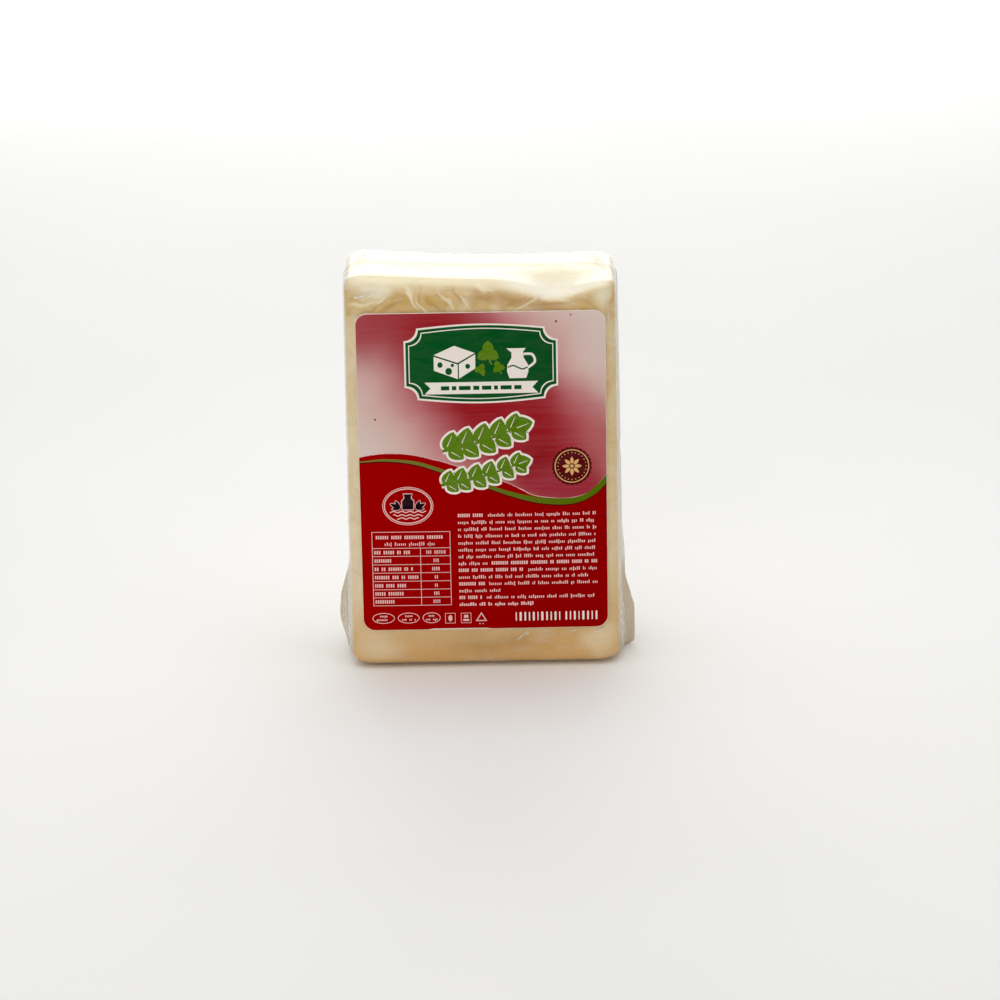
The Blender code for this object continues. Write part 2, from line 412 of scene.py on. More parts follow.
def evenly(low: float, high: float, step: float) -> list[float]:
    """Evenly spaced places from low to high, about a step apart."""
    count = max(1, round((high - low) / step))
    return [low + (high - low) * index / count for index in range(count + 1)]


def stations(half: float, low_edge: float, high_edge: float, step: float, bends: int) -> list[float]:
    """Where one axis of the box is cut: evenly over the flat, and closer over the soft edges.

    Args:
        half: Half the box on this axis.
        low_edge: The soft edge's reach at the low end.
        high_edge: The soft edge's reach at the high end.
        step: The spacing over the flat.
        bends: How many cuts each soft edge has.

    Returns:
        The places from the low end to the high end.
    """
    turns = [math.tan(math.radians(45 * (index + 1) / bends)) for index in range(bends)]
    low = [low_edge - half - turn * low_edge for turn in reversed(turns)]
    high = [half - high_edge + turn * high_edge for turn in turns]
    return low + evenly(low_edge - half, half - high_edge, step) + high


def box_skin(axes: Sequence[Sequence[float]]) -> tuple[list[tuple[float, ...]], list[Face]]:
    """The outside of a square box as a net of four-sided faces that share their points.

    Args:
        axes: The places where each of the three axes is cut.

    Returns:
        The points and the faces, which look outward.
    """
    lasts = [len(axis) - 1 for axis in axes]
    points: list[tuple[float, ...]] = []
    faces: list[Face] = []
    seen: dict[Face, int] = {}

    def corner(key: Face) -> int:
        """The number of the point at this place of the net."""
        if key not in seen:
            seen[key] = len(points)
            points.append(tuple(axis[index] for axis, index in zip(axes, key)))
        return seen[key]

    for fixed in range(3):
        first, second = (fixed + 1) % 3, (fixed + 2) % 3
        for end, i, j in product((0, lasts[fixed]), range(lasts[first]), range(lasts[second])):
            ring = []
            for di, dj in ((0, 0), (1, 0), (1, 1), (0, 1)):
                key = [0, 0, 0]
                key[fixed], key[first], key[second] = end, i + di, j + dj
                ring.append(corner(tuple(key)))
            faces.append(tuple(ring if end else reversed(ring)))
    return points, faces


# Shader wiring that every finish uses


class Wiring:
    """Adds and joins the nodes of one tree."""

    def __init__(self, tree: bpy.types.NodeTree) -> None:
        self.tree = tree

    def add(self, kind: str, inputs: dict | None = None, **settings: object) -> bpy.types.Node:
        """Adds a node.

        Args:
            kind: The node's type.
            inputs: What its sockets hold, by name or number: a value, or a socket to join.
            **settings: The node's own settings.

        Returns:
            The node.
        """
        node = self.tree.nodes.new(kind)
        for name, value in settings.items():
            setattr(node, name, value)
        for name, value in (inputs or {}).items():
            self.feed(node, name, value)
        return node

    def feed(self, node: bpy.types.Node, name: str | int, value: object) -> None:
        """Sets a socket of a node, or joins another socket to it.

        Args:
            node: The node.
            name: The socket's name or number.
            value: The value, or the socket that feeds it.
        """
        if isinstance(value, Socket):
            self.tree.links.new(value, node.inputs[name])
        else:
            node.inputs[name].default_value = value

    def group(self, tree: bpy.types.NodeTree, values: dict) -> Socket:
        """Places a shared effect with its values, and gives its one output."""
        return self.add("ShaderNodeGroup", values, node_tree=tree).outputs[0]

    def mix(self, share: object, first: object, second: object) -> Socket:
        """Mixes two colours; the share is how much of the second shows."""
        return self.add("ShaderNodeMix", {0: share, 6: first, 7: second}, data_type="RGBA").outputs[2]

    def maths(self, operation: str, *values: object) -> Socket:
        """Does a sum on numbers or sockets, in their order."""
        return self.add("ShaderNodeMath", dict(enumerate(values)), operation=operation).outputs[0]

    def times(self, first: object, second: object) -> Socket:
        """The product of two numbers or sockets."""
        return self.maths("MULTIPLY", first, second)

    def arrows(self, operation: str, *values: object) -> Socket:
        """Does a sum on arrows, in their order."""
        return self.add("ShaderNodeVectorMath", dict(enumerate(values)), operation=operation).outputs[0]

    def spread(self, value: object, low: object, high: object, first: float = 0, last: float = 1) -> Socket:
        """Maps the range from low to high smoothly onto 0 to 1, or onto first to last."""
        inputs = {"Value": value, "From Min": low, "From Max": high, "To Min": first, "To Max": last}
        return self.add("ShaderNodeMapRange", inputs, interpolation_type="SMOOTHSTEP").outputs[0]

    def between(self, mask: object, first: float, last: float) -> Socket:
        """Maps a mask smoothly onto first to last."""
        return self.spread(mask, 0.0, 1.0, first, last)

    def bump(self, height: Socket, strength: float, distance: float) -> Socket:
        """Turns a height into a normal."""
        inputs = {"Height": height, "Strength": strength, "Distance": distance}
        return self.add("ShaderNodeBump", inputs).outputs[0]

    def ripple(self, place: Socket, stretch: tuple, coarse: float, fine: float, share: float) -> Socket:
        """Places the shared ripple: its stretch, its two scales and the fine one's share."""
        values = {"Vector": place, "Stretch": stretch, "Coarse": coarse, "Fine": fine, "Fine Share": share}
        return self.group(effects.ripple, values)

    def wander(self, place: Socket, scale: float, detail: float, reach: float) -> Socket:
        """Moves a place about by a soft noise, so that what is drawn at it gets uneven edges.

        Args:
            place: The place's socket.
            scale: The noise's scale.
            detail: Its detail.
            reach: How far the place moves, in metres.

        Returns:
            The moved place's socket.
        """
        drift = self.add("ShaderNodeTexNoise", {"Vector": place, "Scale": scale, "Detail": detail})
        pushed = self.arrows("SUBTRACT", drift.outputs["Color"], (0.5, 0.5, 0.5))
        moved = self.add("ShaderNodeVectorMath", {0: pushed, "Scale": reach}, operation="SCALE").outputs[0]
        return self.arrows("ADD", place, moved)


def effect(name: str, inputs: dict[str, object], output: str) -> tuple:
    """Starts a shader node group with named inputs and one output.

    Args:
        name: The group's name.
        inputs: Each input's value when nothing is given: a number, an arrow, or None for an arrow at zero.
        output: The name of its output, a single number.

    Returns:
        The group, its wiring, its inputs by name, and its output node.
    """
    group = bpy.data.node_groups.new(name, "ShaderNodeTree")
    for label, value in inputs.items():
        kind = "NodeSocketFloat" if isinstance(value, float) else "NodeSocketVector"
        socket = group.interface.new_socket(label, in_out="INPUT", socket_type=kind)
        if value is not None:
            socket.default_value = value
    group.interface.new_socket(output, in_out="OUTPUT", socket_type="NodeSocketFloat")
    wiring = Wiring(group)
    return group, wiring, wiring.add("NodeGroupInput").outputs, wiring.add("NodeGroupOutput")


class Effects:
    """The node groups that several finishes share, each built once."""

    def __init__(self) -> None:
        self.mottle = self.build_mottle()
        self.patch = self.build_patch()
        self.ripple = self.build_ripple()

    def build_mottle(self) -> bpy.types.NodeTree:
        """Cloudy patches of a size, drawn out along an axis and swirled.

        Returns:
            The group, which puts out Mask.
        """
        inputs = {"Vector": None, "Stretch": (1.0, 1.0, 1.0), "Scale": 100.0, "Detail": 3.0, "Swirl": 0.0}
        inputs.update({"From": 0.35, "To": 0.65})
        group, wiring, at, result = effect("cloudy_mottle", inputs, "Mask")
        sizes = {"Scale": at["Scale"], "Detail": at["Detail"], "Distortion": at["Swirl"], "Roughness": 0.55}
        sizes["Vector"] = wiring.arrows("MULTIPLY", at["Vector"], at["Stretch"])
        cloud = wiring.add("ShaderNodeTexNoise", sizes)
        wiring.feed(result, "Mask", wiring.spread(cloud.outputs["Fac"], at["From"], at["To"]))
        return group

    def build_patch(self) -> bpy.types.NodeTree:
        """One soft oval patch in the plane of the front, full in its middle and gone at its rim.

        Returns:
            The group, which puts out Mask.
        """
        inputs = {"Vector": None, "Centre": (0.0, 0.0, 0.0), "Reach": (0.01, 1.0, 0.01)}
        inputs.update({"Turn": 0.0, "Core": 0.0})
        group, wiring, at, result = effect("soft_patch", inputs, "Mask")
        turn = {"Vector": at["Vector"], "Center": at["Centre"], "Angle": at["Turn"]}
        turned = wiring.add("ShaderNodeVectorRotate", turn, rotation_type="Y_AXIS").outputs[0]
        scaled = wiring.arrows("DIVIDE", wiring.arrows("SUBTRACT", turned, at["Centre"]), at["Reach"])
        away = wiring.add("ShaderNodeVectorMath", {0: scaled}, operation="LENGTH").outputs["Value"]
        wiring.feed(result, "Mask", wiring.spread(away, 1.0, at["Core"]))
        return group

    def build_ripple(self) -> bpy.types.NodeTree:
        """Fine ripples of tight film or printed paper, as a height for a bump.

        Returns:
            The group, which puts out Height.
        """
        inputs = {"Vector": None, "Stretch": (1.0, 1.0, 1.0)}
        inputs.update({"Coarse": 120.0, "Fine": 900.0, "Fine Share": 0.3})
        group, wiring, at, result = effect("fine_ripple", inputs, "Height")
        drawn = wiring.arrows("MULTIPLY", at["Vector"], at["Stretch"])
        big = {"Vector": drawn, "Scale": at["Coarse"], "Detail": 2.0, "Distortion": 0.8}
        small = {"Vector": at["Vector"], "Scale": at["Fine"], "Detail": 2.0}
        coarse = wiring.add("ShaderNodeTexNoise", big).outputs["Fac"]
        fine = wiring.add("ShaderNodeTexNoise", small).outputs["Fac"]
        wiring.feed(result, "Height", wiring.maths("ADD", coarse, wiring.times(fine, at["Fine Share"])))
        return group


effects = Effects()


def start_finish(name: str) -> tuple[Material, Wiring, bpy.types.Node, Socket]:
    """Starts a material with one Principled shader.

    Args:
        name: The material's name.

    Returns:
        The material, its wiring, its shader, and the socket with the place on the object.
    """
    made = bpy.data.materials.new(name)
    made.use_nodes = True
    wiring = Wiring(made.node_tree)
    shader = made.node_tree.nodes["Principled BSDF"]
    place = wiring.add("ShaderNodeTexCoord").outputs["Object"]
    return made, wiring, shader, place


@dataclass(frozen=True)
class Stroke:
    """One soft stroke on the front: its middle and reach in block millimetres, its turn and its strength."""

    x: float
    z: float
    wide: float
    high: float
    turn: float
    strength: float


@dataclass(frozen=True)
class CheeseFinish:
    """Damp white cheese under tight film: pale where the film stands off, golden where it clings.

    The spans are places in metres between which a mask grows from nothing to full, and the other pairs
    are the shares that a mask runs between.
    """

    # Cream: pale cheese in some strokes, and painted highlight on the top and the upper front edge.
    cream_and_highlight: Colour = srgb(246, 234, 196)
    pale: Colour = srgb(238, 220, 182)
    golden: Colour = srgb(210, 170, 74)
    deep: Colour = srgb(188, 140, 44)
    # Deep gold at the foot: partly whey pooled there, partly painted shade and warm bounced light.
    foot: Colour = srgb(210, 150, 6)
    # Near-white: painted highlight.
    highlight_white: Colour = srgb(255, 253, 246)
    # Cream strokes: pale streaks where the film stands off, partly painted highlight on film folds; the two low
    # ones keep the foot's sides paler.
    strokes: tuple[Stroke, ...] = (
        Stroke(-39, 143, 13, 4.6, 6, 0.85),
        Stroke(26, 143.8, 16, 4.4, -4, 1),
        Stroke(43.5, 141, 5, 9, 0, 0.85),
        Stroke(-42.5, 138.8, 7, 1.5, 22, 1),
        Stroke(-37, 140.6, 6, 1.3, 38, 0.9),
        Stroke(-25, 141, 8, 1.4, -58, 1),
        Stroke(-20, 137.6, 6.5, 1.2, -48, 0.9),
        Stroke(-12.5, 140.5, 7, 1.3, -62, 0.85),
        Stroke(-5, 139.5, 6, 1.2, -50, 0.7),
        Stroke(1.5, 143, 6, 1.6, -36, 1),
        Stroke(16, 138.4, 8, 1.3, 42, 0.65),
        Stroke(30, 138.6, 8, 1.2, -20, 0.45),
        Stroke(-40, 9, 14, 9, 0, 0.5),
        Stroke(41, 10, 12, 9, 0, 0.6),
    )
    # Dark strokes: deeper gold, partly painted shade of creases; the low one deepens the foot's middle, partly
    # as painted shade.
    dark_and_shade_strokes: tuple[Stroke, ...] = (
        Stroke(-33, 136.6, 11, 1.4, 16, 0.8),
        Stroke(-40.5, 136.4, 7, 1.2, 34, 0.7),
        Stroke(-22, 142.6, 7, 1, -60, 0.8),
        Stroke(-16, 139, 8, 1.1, -55, 0.9),
        Stroke(-8, 141.8, 6, 1.2, -64, 0.9),
        Stroke(1.5, 140.2, 7, 2.2, -30, 0.8),
        Stroke(12.5, 139.6, 6, 1.3, 50, 0.9),
        Stroke(20, 141.2, 9, 1.4, 12, 0.9),
        Stroke(31, 140.8, 9, 1.3, -14, 0.8),
        Stroke(39, 138.2, 6, 1.2, -40, 0.6),
        Stroke(2, 8, 28, 9, 0, 0.75),
        Stroke(6, 140.2, 17, 5, 0, 0.8),
        Stroke(23, 137.8, 16, 5, 0, 0.95),
    )
    # Painted highlight: near-white strokes along the top's front edge.
    highlight_strokes: tuple[Stroke, ...] = (
        Stroke(28, 144.8, 16, 4.8, -3, 0.8),
        Stroke(-10, 147.2, 20, 4.2, 0, 0.8),
        Stroke(-38, 146, 12, 4.6, 4, 0.7),
    )

    head_rows: Span = (0.126, 0.139)
    front_depths: Span = (-0.012, -0.021)
    right_side: Span = (0.020, 0.046)
    foot_rows: Span = (0.036, 0.006)
    # Painted highlight: where the top turns cream.
    top_rows: Span = (0.1405, 0.1465)
    # Painted highlight: where the worn corner's soft front edge turns cream, and its front lip near-white.
    edge_highlight_rows: Span = (0.1350, 0.1400)
    edge_highlight_depths: Span = (-0.0236, -0.0200)
    edge_highlight_left: Span = (0.002, 0.016)
    edge_highlight_right: Span = (0.0475, 0.0430)
    edge_glint_front: Span = (-0.004, -0.019)
    right_golden: float = 0.30
    head_golden: float = 0.22
    clinging: Span = (0.40, 0.95)
    soaked: Span = (0.16, 0.50)
    curd_share: float = 0.22
    foot_share: float = 0.72
    foot_share_behind: float = 0.30
    edge_highlight_share: float = 0.95
    lit_top_share: float = 0.9
    # How much painted highlight turns the worn corner's front lip near-white.
    glint_share: float = 0.45
    stroke_depth: float = -0.0245
    stroke_reach: float = 0.012

    def material(self) -> Material:
        """The cheese's material.

        Returns:
            A material that reads the place on the block.
        """
        made, wiring, shader, place = start_finish("cheese_in_film")
        parts = wiring.add("ShaderNodeSeparateXYZ", {0: place}).outputs

        def mottle(scale: float, stretch: tuple, swirl: float, low: float, high: float) -> Socket:
            """One layer of patches."""
            values = {"Vector": place, "Stretch": stretch, "Scale": scale, "Swirl": swirl}
            return wiring.group(effects.mottle, {**values, "From": low, "To": high})

        broad = mottle(34.0, (1.0, 1.0, 0.8), 1.6, 0.34, 0.66)
        curds = mottle(120.0, (0.9, 1.0, 1.2), 1.8, 0.38, 0.68)
        wet = mottle(70.0, (0.8, 1.0, 1.3), 2.6, 0.54, 0.72)
        on_front = wiring.spread(parts["Y"], *self.front_depths)
        at_head = wiring.times(wiring.spread(parts["Z"], *self.head_rows), on_front)
        at_right = wiring.spread(parts["X"], *self.right_side, 0.0, self.right_golden)
        warm = wiring.maths("ADD", wiring.times(broad, wiring.between(at_head, *self.clinging)), at_right)
        warm = wiring.maths("ADD", warm, wiring.times(at_head, self.head_golden))
        colour = wiring.mix(wiring.maths("MINIMUM", warm, 1.0), self.pale, self.golden)
        colour = wiring.mix(wiring.times(curds, self.curd_share), colour, self.pale)
        soaked = wiring.times(wet, wiring.between(at_head, *self.soaked))
        colour = wiring.mix(soaked, colour, self.deep)
        # Deeper gold towards the front's foot: partly whey, partly painted shade.
        foot_whey_and_shade = wiring.spread(parts["Z"], *self.foot_rows, 0.0, self.foot_share)
        foot_whey_and_shade = wiring.times(foot_whey_and_shade, wiring.between(on_front, self.foot_share_behind, 1.0))
        colour = wiring.mix(foot_whey_and_shade, colour, self.foot)
        # Soft strokes: partly cheese tone, partly painted shade and painted highlight.
        colour = self.stroked(wiring, wiring.wander(place, 110.0, 1.5, 0.009), colour)
        # Painted highlight on the worn corner's soft front edge: it turns cream there.
        edge_highlight_up = wiring.spread(parts["Z"], *self.edge_highlight_rows, 0.0, self.edge_highlight_share)
        worn = wiring.times(edge_highlight_up, wiring.spread(parts["Y"], *self.edge_highlight_depths))
        worn = wiring.times(worn, wiring.spread(parts["X"], *self.edge_highlight_left))
        worn = wiring.times(worn, wiring.spread(parts["X"], *self.edge_highlight_right))
        # Painted highlight: the top turns cream.
        on_top = wiring.spread(parts["Z"], *self.top_rows, 0.0, self.lit_top_share)
        colour = wiring.mix(worn, wiring.mix(on_top, colour, self.cream_and_highlight), self.cream_and_highlight)
        # Painted highlight: the worn corner's front lip turns near-white.
        glint_share = wiring.times(worn, wiring.spread(parts["Y"], *self.edge_glint_front, 0.0, self.glint_share))
        wiring.feed(shader, "Base Color", wiring.mix(glint_share, colour, self.highlight_white))
        wiring.feed(shader, "Roughness", wiring.between(curds, 0.28, 0.42))
        ripple = wiring.ripple(place, (0.9, 1.0, 1.3), 75.0, 420.0, 0.12)
        wiring.feed(shader, "Normal", wiring.bump(ripple, 0.40, 0.0012))
        shader.inputs["Subsurface Weight"].default_value = 0.25
        shader.inputs["Subsurface Radius"].default_value = (1.0, 0.7, 0.35)
        shader.inputs["Subsurface Scale"].default_value = 0.003
        shader.inputs["Coat Weight"].default_value = 0.35
        shader.inputs["Coat Roughness"].default_value = 0.18
        return made

    def stroked(self, wiring: Wiring, place: Socket, colour: Socket) -> Socket:
        """Lays the dark, cream and near-white strokes over a colour, partly painted shade and painted
        highlight.

        Args:
            wiring: The material's wiring.
            place: The socket with the place that the strokes are drawn at.
            colour: The socket of the colour below them.

        Returns:
            The colour's socket with the strokes on it.
        """
        # Dark: partly painted shade; cream: partly painted highlight; near-white: painted highlight.
        tones = (self.deep, self.cream_and_highlight, self.highlight_white)
        for tone, strokes in zip(tones, (self.dark_and_shade_strokes, self.strokes, self.highlight_strokes)):
            for form in strokes:
                values = {"Vector": place, "Centre": (form.x * MM, self.stroke_depth, form.z * MM)}
                values["Reach"] = (form.wide * MM, self.stroke_reach, form.high * MM)
                values["Turn"] = math.radians(form.turn)
                share = wiring.times(wiring.group(effects.patch, values), form.strength)
                colour = wiring.mix(share, colour, tone)
        return colour


@dataclass(frozen=True)
class FilmFinish:
    """Clear bag film: barely there over the cheese, milkier where it is doubled, seen edge-on or creased.

    The spans are places in metres between which a mask grows from nothing to full.
    """

    tint: Colour = srgb(255, 253, 248)
    # The ears' tan: partly a yellowish film, partly painted shade.
    ear_tint_and_shade: Colour = srgb(202, 180, 138)
    over_cheese: float = 0.05
    doubled: float = 0.90
    seam: float = 0.62
    ear_alpha: float = 0.62
    flap_alpha: float = 0.20
    edge_on: float = 0.40
    wrinkled: float = 0.09
    taper: float = 0.0047
    rim_out: Span = (0.0499, 0.0506)
    ear_out: Span = (0.0499, 0.0518)
    side_out: Span = (0.0480, 0.0488)
    from_seam: Span = (0.0013, 0.0006)
    ear_rows: Span = (0.048, 0.038)
    right_side: Span = (-0.010, 0.010)
    right_ear_lower: float = 0.011
    top_rows: Span = (0.1410, 0.1440)
    flap_start: Span = (-0.0012, 0.0004)
    flap_end: Span = (0.0190, 0.0182)

    def material(self) -> Material:
        """The film's material.

        Returns:
            A see-through material.
        """
        made, wiring, shader, place = start_finish("clear_film")
        parts = wiring.add("ShaderNodeSeparateXYZ", {0: place}).outputs
        across = wiring.maths("ABSOLUTE", wiring.maths("ADD", parts["X"], -SHIFT_X))
        across = wiring.maths("MULTIPLY_ADD", parts["Z"], self.taper, across)
        off_seam = wiring.maths("ABSOLUTE", wiring.maths("SUBTRACT", parts["Y"], SHIFT_Y))
        on_side = wiring.spread(across, *self.side_out, 0.0, self.seam)
        at_seam = wiring.times(wiring.spread(off_seam, *self.from_seam), on_side)
        rim = wiring.maths("MAXIMUM", wiring.spread(across, *self.rim_out, 0.0, self.doubled), at_seam)
        at_right = wiring.spread(parts["X"], *self.right_side, 0.0, self.right_ear_lower)
        low_down = wiring.spread(wiring.maths("ADD", parts["Z"], at_right), *self.ear_rows)
        rim = wiring.times(rim, wiring.between(low_down, 1.0, self.ear_alpha))
        ear = wiring.times(wiring.spread(across, *self.ear_out), low_down)
        on_top = wiring.spread(parts["Z"], *self.top_rows)
        flap = wiring.times(wiring.spread(parts["Y"], *self.flap_start), on_top)
        flap = wiring.times(wiring.spread(parts["Y"], *self.flap_end, 0.0, self.flap_alpha), flap)
        ripple = wiring.ripple(place, (0.6, 1.0, 1.8), 170.0, 900.0, 0.2)
        wrinkle = wiring.spread(ripple, 0.60, 0.80, 0.0, self.wrinkled)
        facing = wiring.add("ShaderNodeLayerWeight", {"Blend": 0.35}).outputs["Facing"]
        grazing = wiring.spread(facing, 0.45, 1.0, 0.0, self.edge_on)
        alpha = wiring.maths("ADD", wiring.maths("ADD", wrinkle, grazing), self.over_cheese)
        wiring.feed(shader, "Alpha", wiring.maths("MAXIMUM", wiring.maths("ADD", alpha, flap), rim))
        # Tan on the ears: partly the film's own tint, partly painted shade.
        wiring.feed(shader, "Base Color", wiring.mix(ear, self.tint, self.ear_tint_and_shade))
        wiring.feed(shader, "Roughness", wiring.spread(ripple, 0.3, 0.9, 0.10, 0.30))
        wiring.feed(shader, "Normal", wiring.bump(ripple, 0.35, 0.0006))
        return made


@dataclass(frozen=True)
class FoldFinish:
    """A pinch of film that catches the light: its near-white colour is partly doubled film, partly painted
    highlight.
    """

    name: str = "film_fold"
    # Near-white: partly milky doubled film, partly painted highlight.
    tint: Colour = srgb(252, 246, 230)
    alpha: float = 0.95

    def material(self) -> Material:
        """The fold's material.

        Returns:
            A see-through, glossy material.
        """
        made, wiring, shader, place = start_finish(self.name)
        mask = wiring.group(effects.mottle, {"Vector": place, "Scale": 420.0, "From": 0.30, "To": 0.70})
        wiring.feed(shader, "Alpha", wiring.between(mask, self.alpha * 0.6, self.alpha))
        wiring.feed(shader, "Roughness", wiring.between(mask, 0.12, 0.25))
        shader.inputs["Base Color"].default_value = self.tint
        return made


@dataclass(frozen=True)
class InkFinish:
    """Satin ink on the label, a little uneven, which may turn to another shade across the label."""

    name: str
    left: Colour
    right: Colour
    uneven: float = 0.02
    roughness: float = 0.46
    shine: float = 0.02

    def material(self) -> Material:
        """The ink's material, made once.

        Returns:
            The material with this ink's name.
        """
        if self.name in bpy.data.materials:
            return bpy.data.materials[self.name]
        made, wiring, shader, place = start_finish(self.name)
        x = wiring.add("ShaderNodeSeparateXYZ", {0: place}).outputs["X"]
        colour = wiring.mix(wiring.spread(x, -0.045, 0.045), self.left, self.right)
        values = {"Vector": place, "Stretch": (0.35, 1.0, 1.6), "Scale": 330.0, "Swirl": 0.4}
        mask = wiring.group(effects.mottle, values)
        wiring.feed(shader, "Base Color", wiring.mix(wiring.times(mask, self.uneven), colour, PAPER_WHITE))
        wiring.feed(shader, "Roughness", wiring.between(mask, self.roughness - 0.04, self.roughness + 0.06))
        wiring.feed(shader, "Normal", paper_bump(wiring, place))
        shader.inputs["Specular IOR Level"].default_value = self.shine
        return made


PAPER_WHITE = srgb(242, 232, 222)


def paper_bump(wiring: Wiring, place: Socket) -> Socket:
    """The slight tooth of label paper, as a normal."""
    return wiring.bump(wiring.ripple(place, (1.0, 1.0, 1.0), 260.0, 2600.0, 0.35), 0.18, 0.0002)


@dataclass(frozen=True)
class PaperFinish:
    """The label's own paper, white and a little worn."""

    worn: Colour = srgb(228, 212, 192)

    def material(self) -> Material:
        """The paper's material.

        Returns:
            The material.
        """
        made, wiring, shader, place = start_finish("label_paper")
        mask = wiring.group(effects.mottle, {"Vector": place, "Scale": 240.0})
        wiring.feed(shader, "Base Color", wiring.mix(mask, PAPER_WHITE, self.worn))
        wiring.feed(shader, "Roughness", wiring.between(mask, 0.45, 0.60))
        wiring.feed(shader, "Normal", paper_bump(wiring, place))
        return made


@dataclass(frozen=True)
class Cloud:
    """One soft patch of the label's ground: its colour, middle, reach and turn, in label millimetres."""

    colour: Colour
    middle: Point
    reach: Point
    turn: float = 0.0
    strength: float = 1.0
    core: float = 0.0


@dataclass(frozen=True)
class GroundFinish:
    """The label's upper ground: a crimson band drifting over pale, dusty pink, with fine brushed streaks."""

    ground: Colour = srgb(226, 208, 198)
    clouds: tuple[Cloud, ...] = (
        Cloud(srgb(208, 128, 130), (-1, 90), (80, 55), 50, 0.9, 0.20),
        Cloud(srgb(166, 58, 64), (-44, 117), (34, 26), 0, 0.95, 0.2),
        Cloud(srgb(184, 74, 82), (36, 72), (26, 30), 0, 0.8, 0.3),
        Cloud(srgb(174, 54, 70), (3, 89), (74, 37), 50, 0.9, 0.30),
        Cloud(srgb(156, 4, 24), (3, 89), (72, 26), 50, 1.0, 0.38),
        Cloud(srgb(160, 34, 52), (28, 54), (28, 14), 0, 0.95, 0.3),
        Cloud(srgb(146, 0, 16), (20, 64), (12, 14), 30, 0.85, 0.1),
    )
    depth: float = -0.0247
    streak_share: float = 0.022

    def material(self) -> Material:
        """The ground's material.

        Returns:
            A material that reads the place on the label.
        """
        made, wiring, shader, place = start_finish("label_ground")
        values = {"Vector": place, "Stretch": (0.12, 1.0, 1.6), "Scale": 420.0, "Detail": 4.0}
        streaks = wiring.group(effects.mottle, {**values, "From": 0.3, "To": 0.7})
        wandering = wiring.wander(place, 28.0, 3.0, 0.018)
        colour: object = self.ground
        for cloud in self.clouds:
            (u, v), (wide, high) = cloud.middle, cloud.reach
            centre = (u * MM + SHIFT_X, self.depth, (v + LABEL_FOOT) * MM)
            values = {"Vector": wandering, "Centre": centre, "Reach": (wide * MM, 1.0, high * MM)}
            values.update({"Turn": math.radians(-cloud.turn), "Core": cloud.core})
            share = wiring.times(wiring.group(effects.patch, values), cloud.strength)
            colour = wiring.mix(share, colour, cloud.colour)
        colour = wiring.mix(wiring.times(streaks, self.streak_share), colour, PAPER_WHITE)
        wiring.feed(shader, "Base Color", colour)
        wiring.feed(shader, "Roughness", wiring.between(streaks, 0.40, 0.50))
        wiring.feed(shader, "Normal", paper_bump(wiring, place))
        shader.inputs["Specular IOR Level"].default_value = 0.10
        return made


class Ink(Enum):
    """The inks of the label's print."""

    RED = InkFinish("ink_red", srgb(163, 0, 1), srgb(149, 0, 1), 0.0, 0.46, 0.0)
    SHADE = InkFinish("ink_shade", srgb(92, 3, 6), srgb(84, 2, 5), 0.004)
    STRIPE = InkFinish("ink_stripe", srgb(122, 118, 50), srgb(86, 110, 0), 0.0)
    LEAF = InkFinish("ink_leaf", srgb(96, 132, 12), srgb(88, 126, 10), 0.02)
    PINE = InkFinish("ink_pine", srgb(2, 84, 30), srgb(1, 76, 28), 0.01)
    PALE = InkFinish("ink_pale", srgb(248, 238, 228), srgb(246, 236, 226), 0.0)
    PRINT = InkFinish("ink_print", srgb(244, 196, 190), srgb(244, 196, 190), 0.0)
    MAROON = InkFinish("ink_maroon", srgb(88, 4, 10), srgb(88, 4, 10), 0.01)
    GOLD = InkFinish("ink_gold", srgb(222, 168, 96), srgb(228, 178, 108), 0.02, 0.34, 0.3)
    DARK = InkFinish("ink_dark", srgb(30, 6, 20), srgb(30, 6, 20), 0.01)


# Flat print, made as thin closed plates that follow the front


class Layer(Enum):
    """How far each layer's back and face lie over the film, in millimetres."""

    PAPER = (0.03, 0.44)
    GROUND = (0.43, 0.455)
    FIELD = (0.45, 0.475)
    SHADE = (0.47, 0.487)
    STRIPE = (0.48, 0.502)
    EDGING = (0.495, 0.522)
    MOTIF = (0.515, 0.542)
    DETAIL = (0.535, 0.562)
    FINE = (0.555, 0.582)


@dataclass(frozen=True)
class LabelFace:
    """Where the label lies on the block: places on it are millimetres from the middle of its lower edge."""

    block: CutBlock
    width: float = 90.0
    height: float = 120.0
    bottom: float = LABEL_FOOT
    corner: float = 4.2

    def at(self, u: float, v: float, over: float) -> Triple:
        """A place on the label, and over the film, as a point of the CAD frame in metres."""
        up, block = (v + self.bottom) * MM, self.block
        return (u * MM + block.shift_x, block.front_y(u * MM, up) - over * MM + block.shift_y, up)

    def cuts(self) -> tuple[list[float], list[float]]:
        """Where plates are cut so that they bend with the front: across and up, in millimetres."""
        side = evenly(40.7, 45.0, 0.72)
        return [-at for at in reversed(side)] + evenly(-40.7, 40.7, 5.1) + side, evenly(-1.0, 121.0, 6.1)


Flat = tuple[list[Point], list[Face]]

LEAST_STRIP = 0.05
LARGEST_FLAT_BOX = 3.0


def smooth_mesh(name: str, points: Sequence, faces: Sequence[Face]) -> Mesh:
    """Makes a mesh from points and faces.

    Args:
        name: The mesh's name.
        points: Its points, in metres.
        faces: Its faces, which look outward.

    Returns:
        The mesh, shaded smooth.
    """
    made = bpy.data.meshes.new(name)
    made.from_pydata(points, [], faces)
    made.validate()
    made.shade_smooth()
    return made


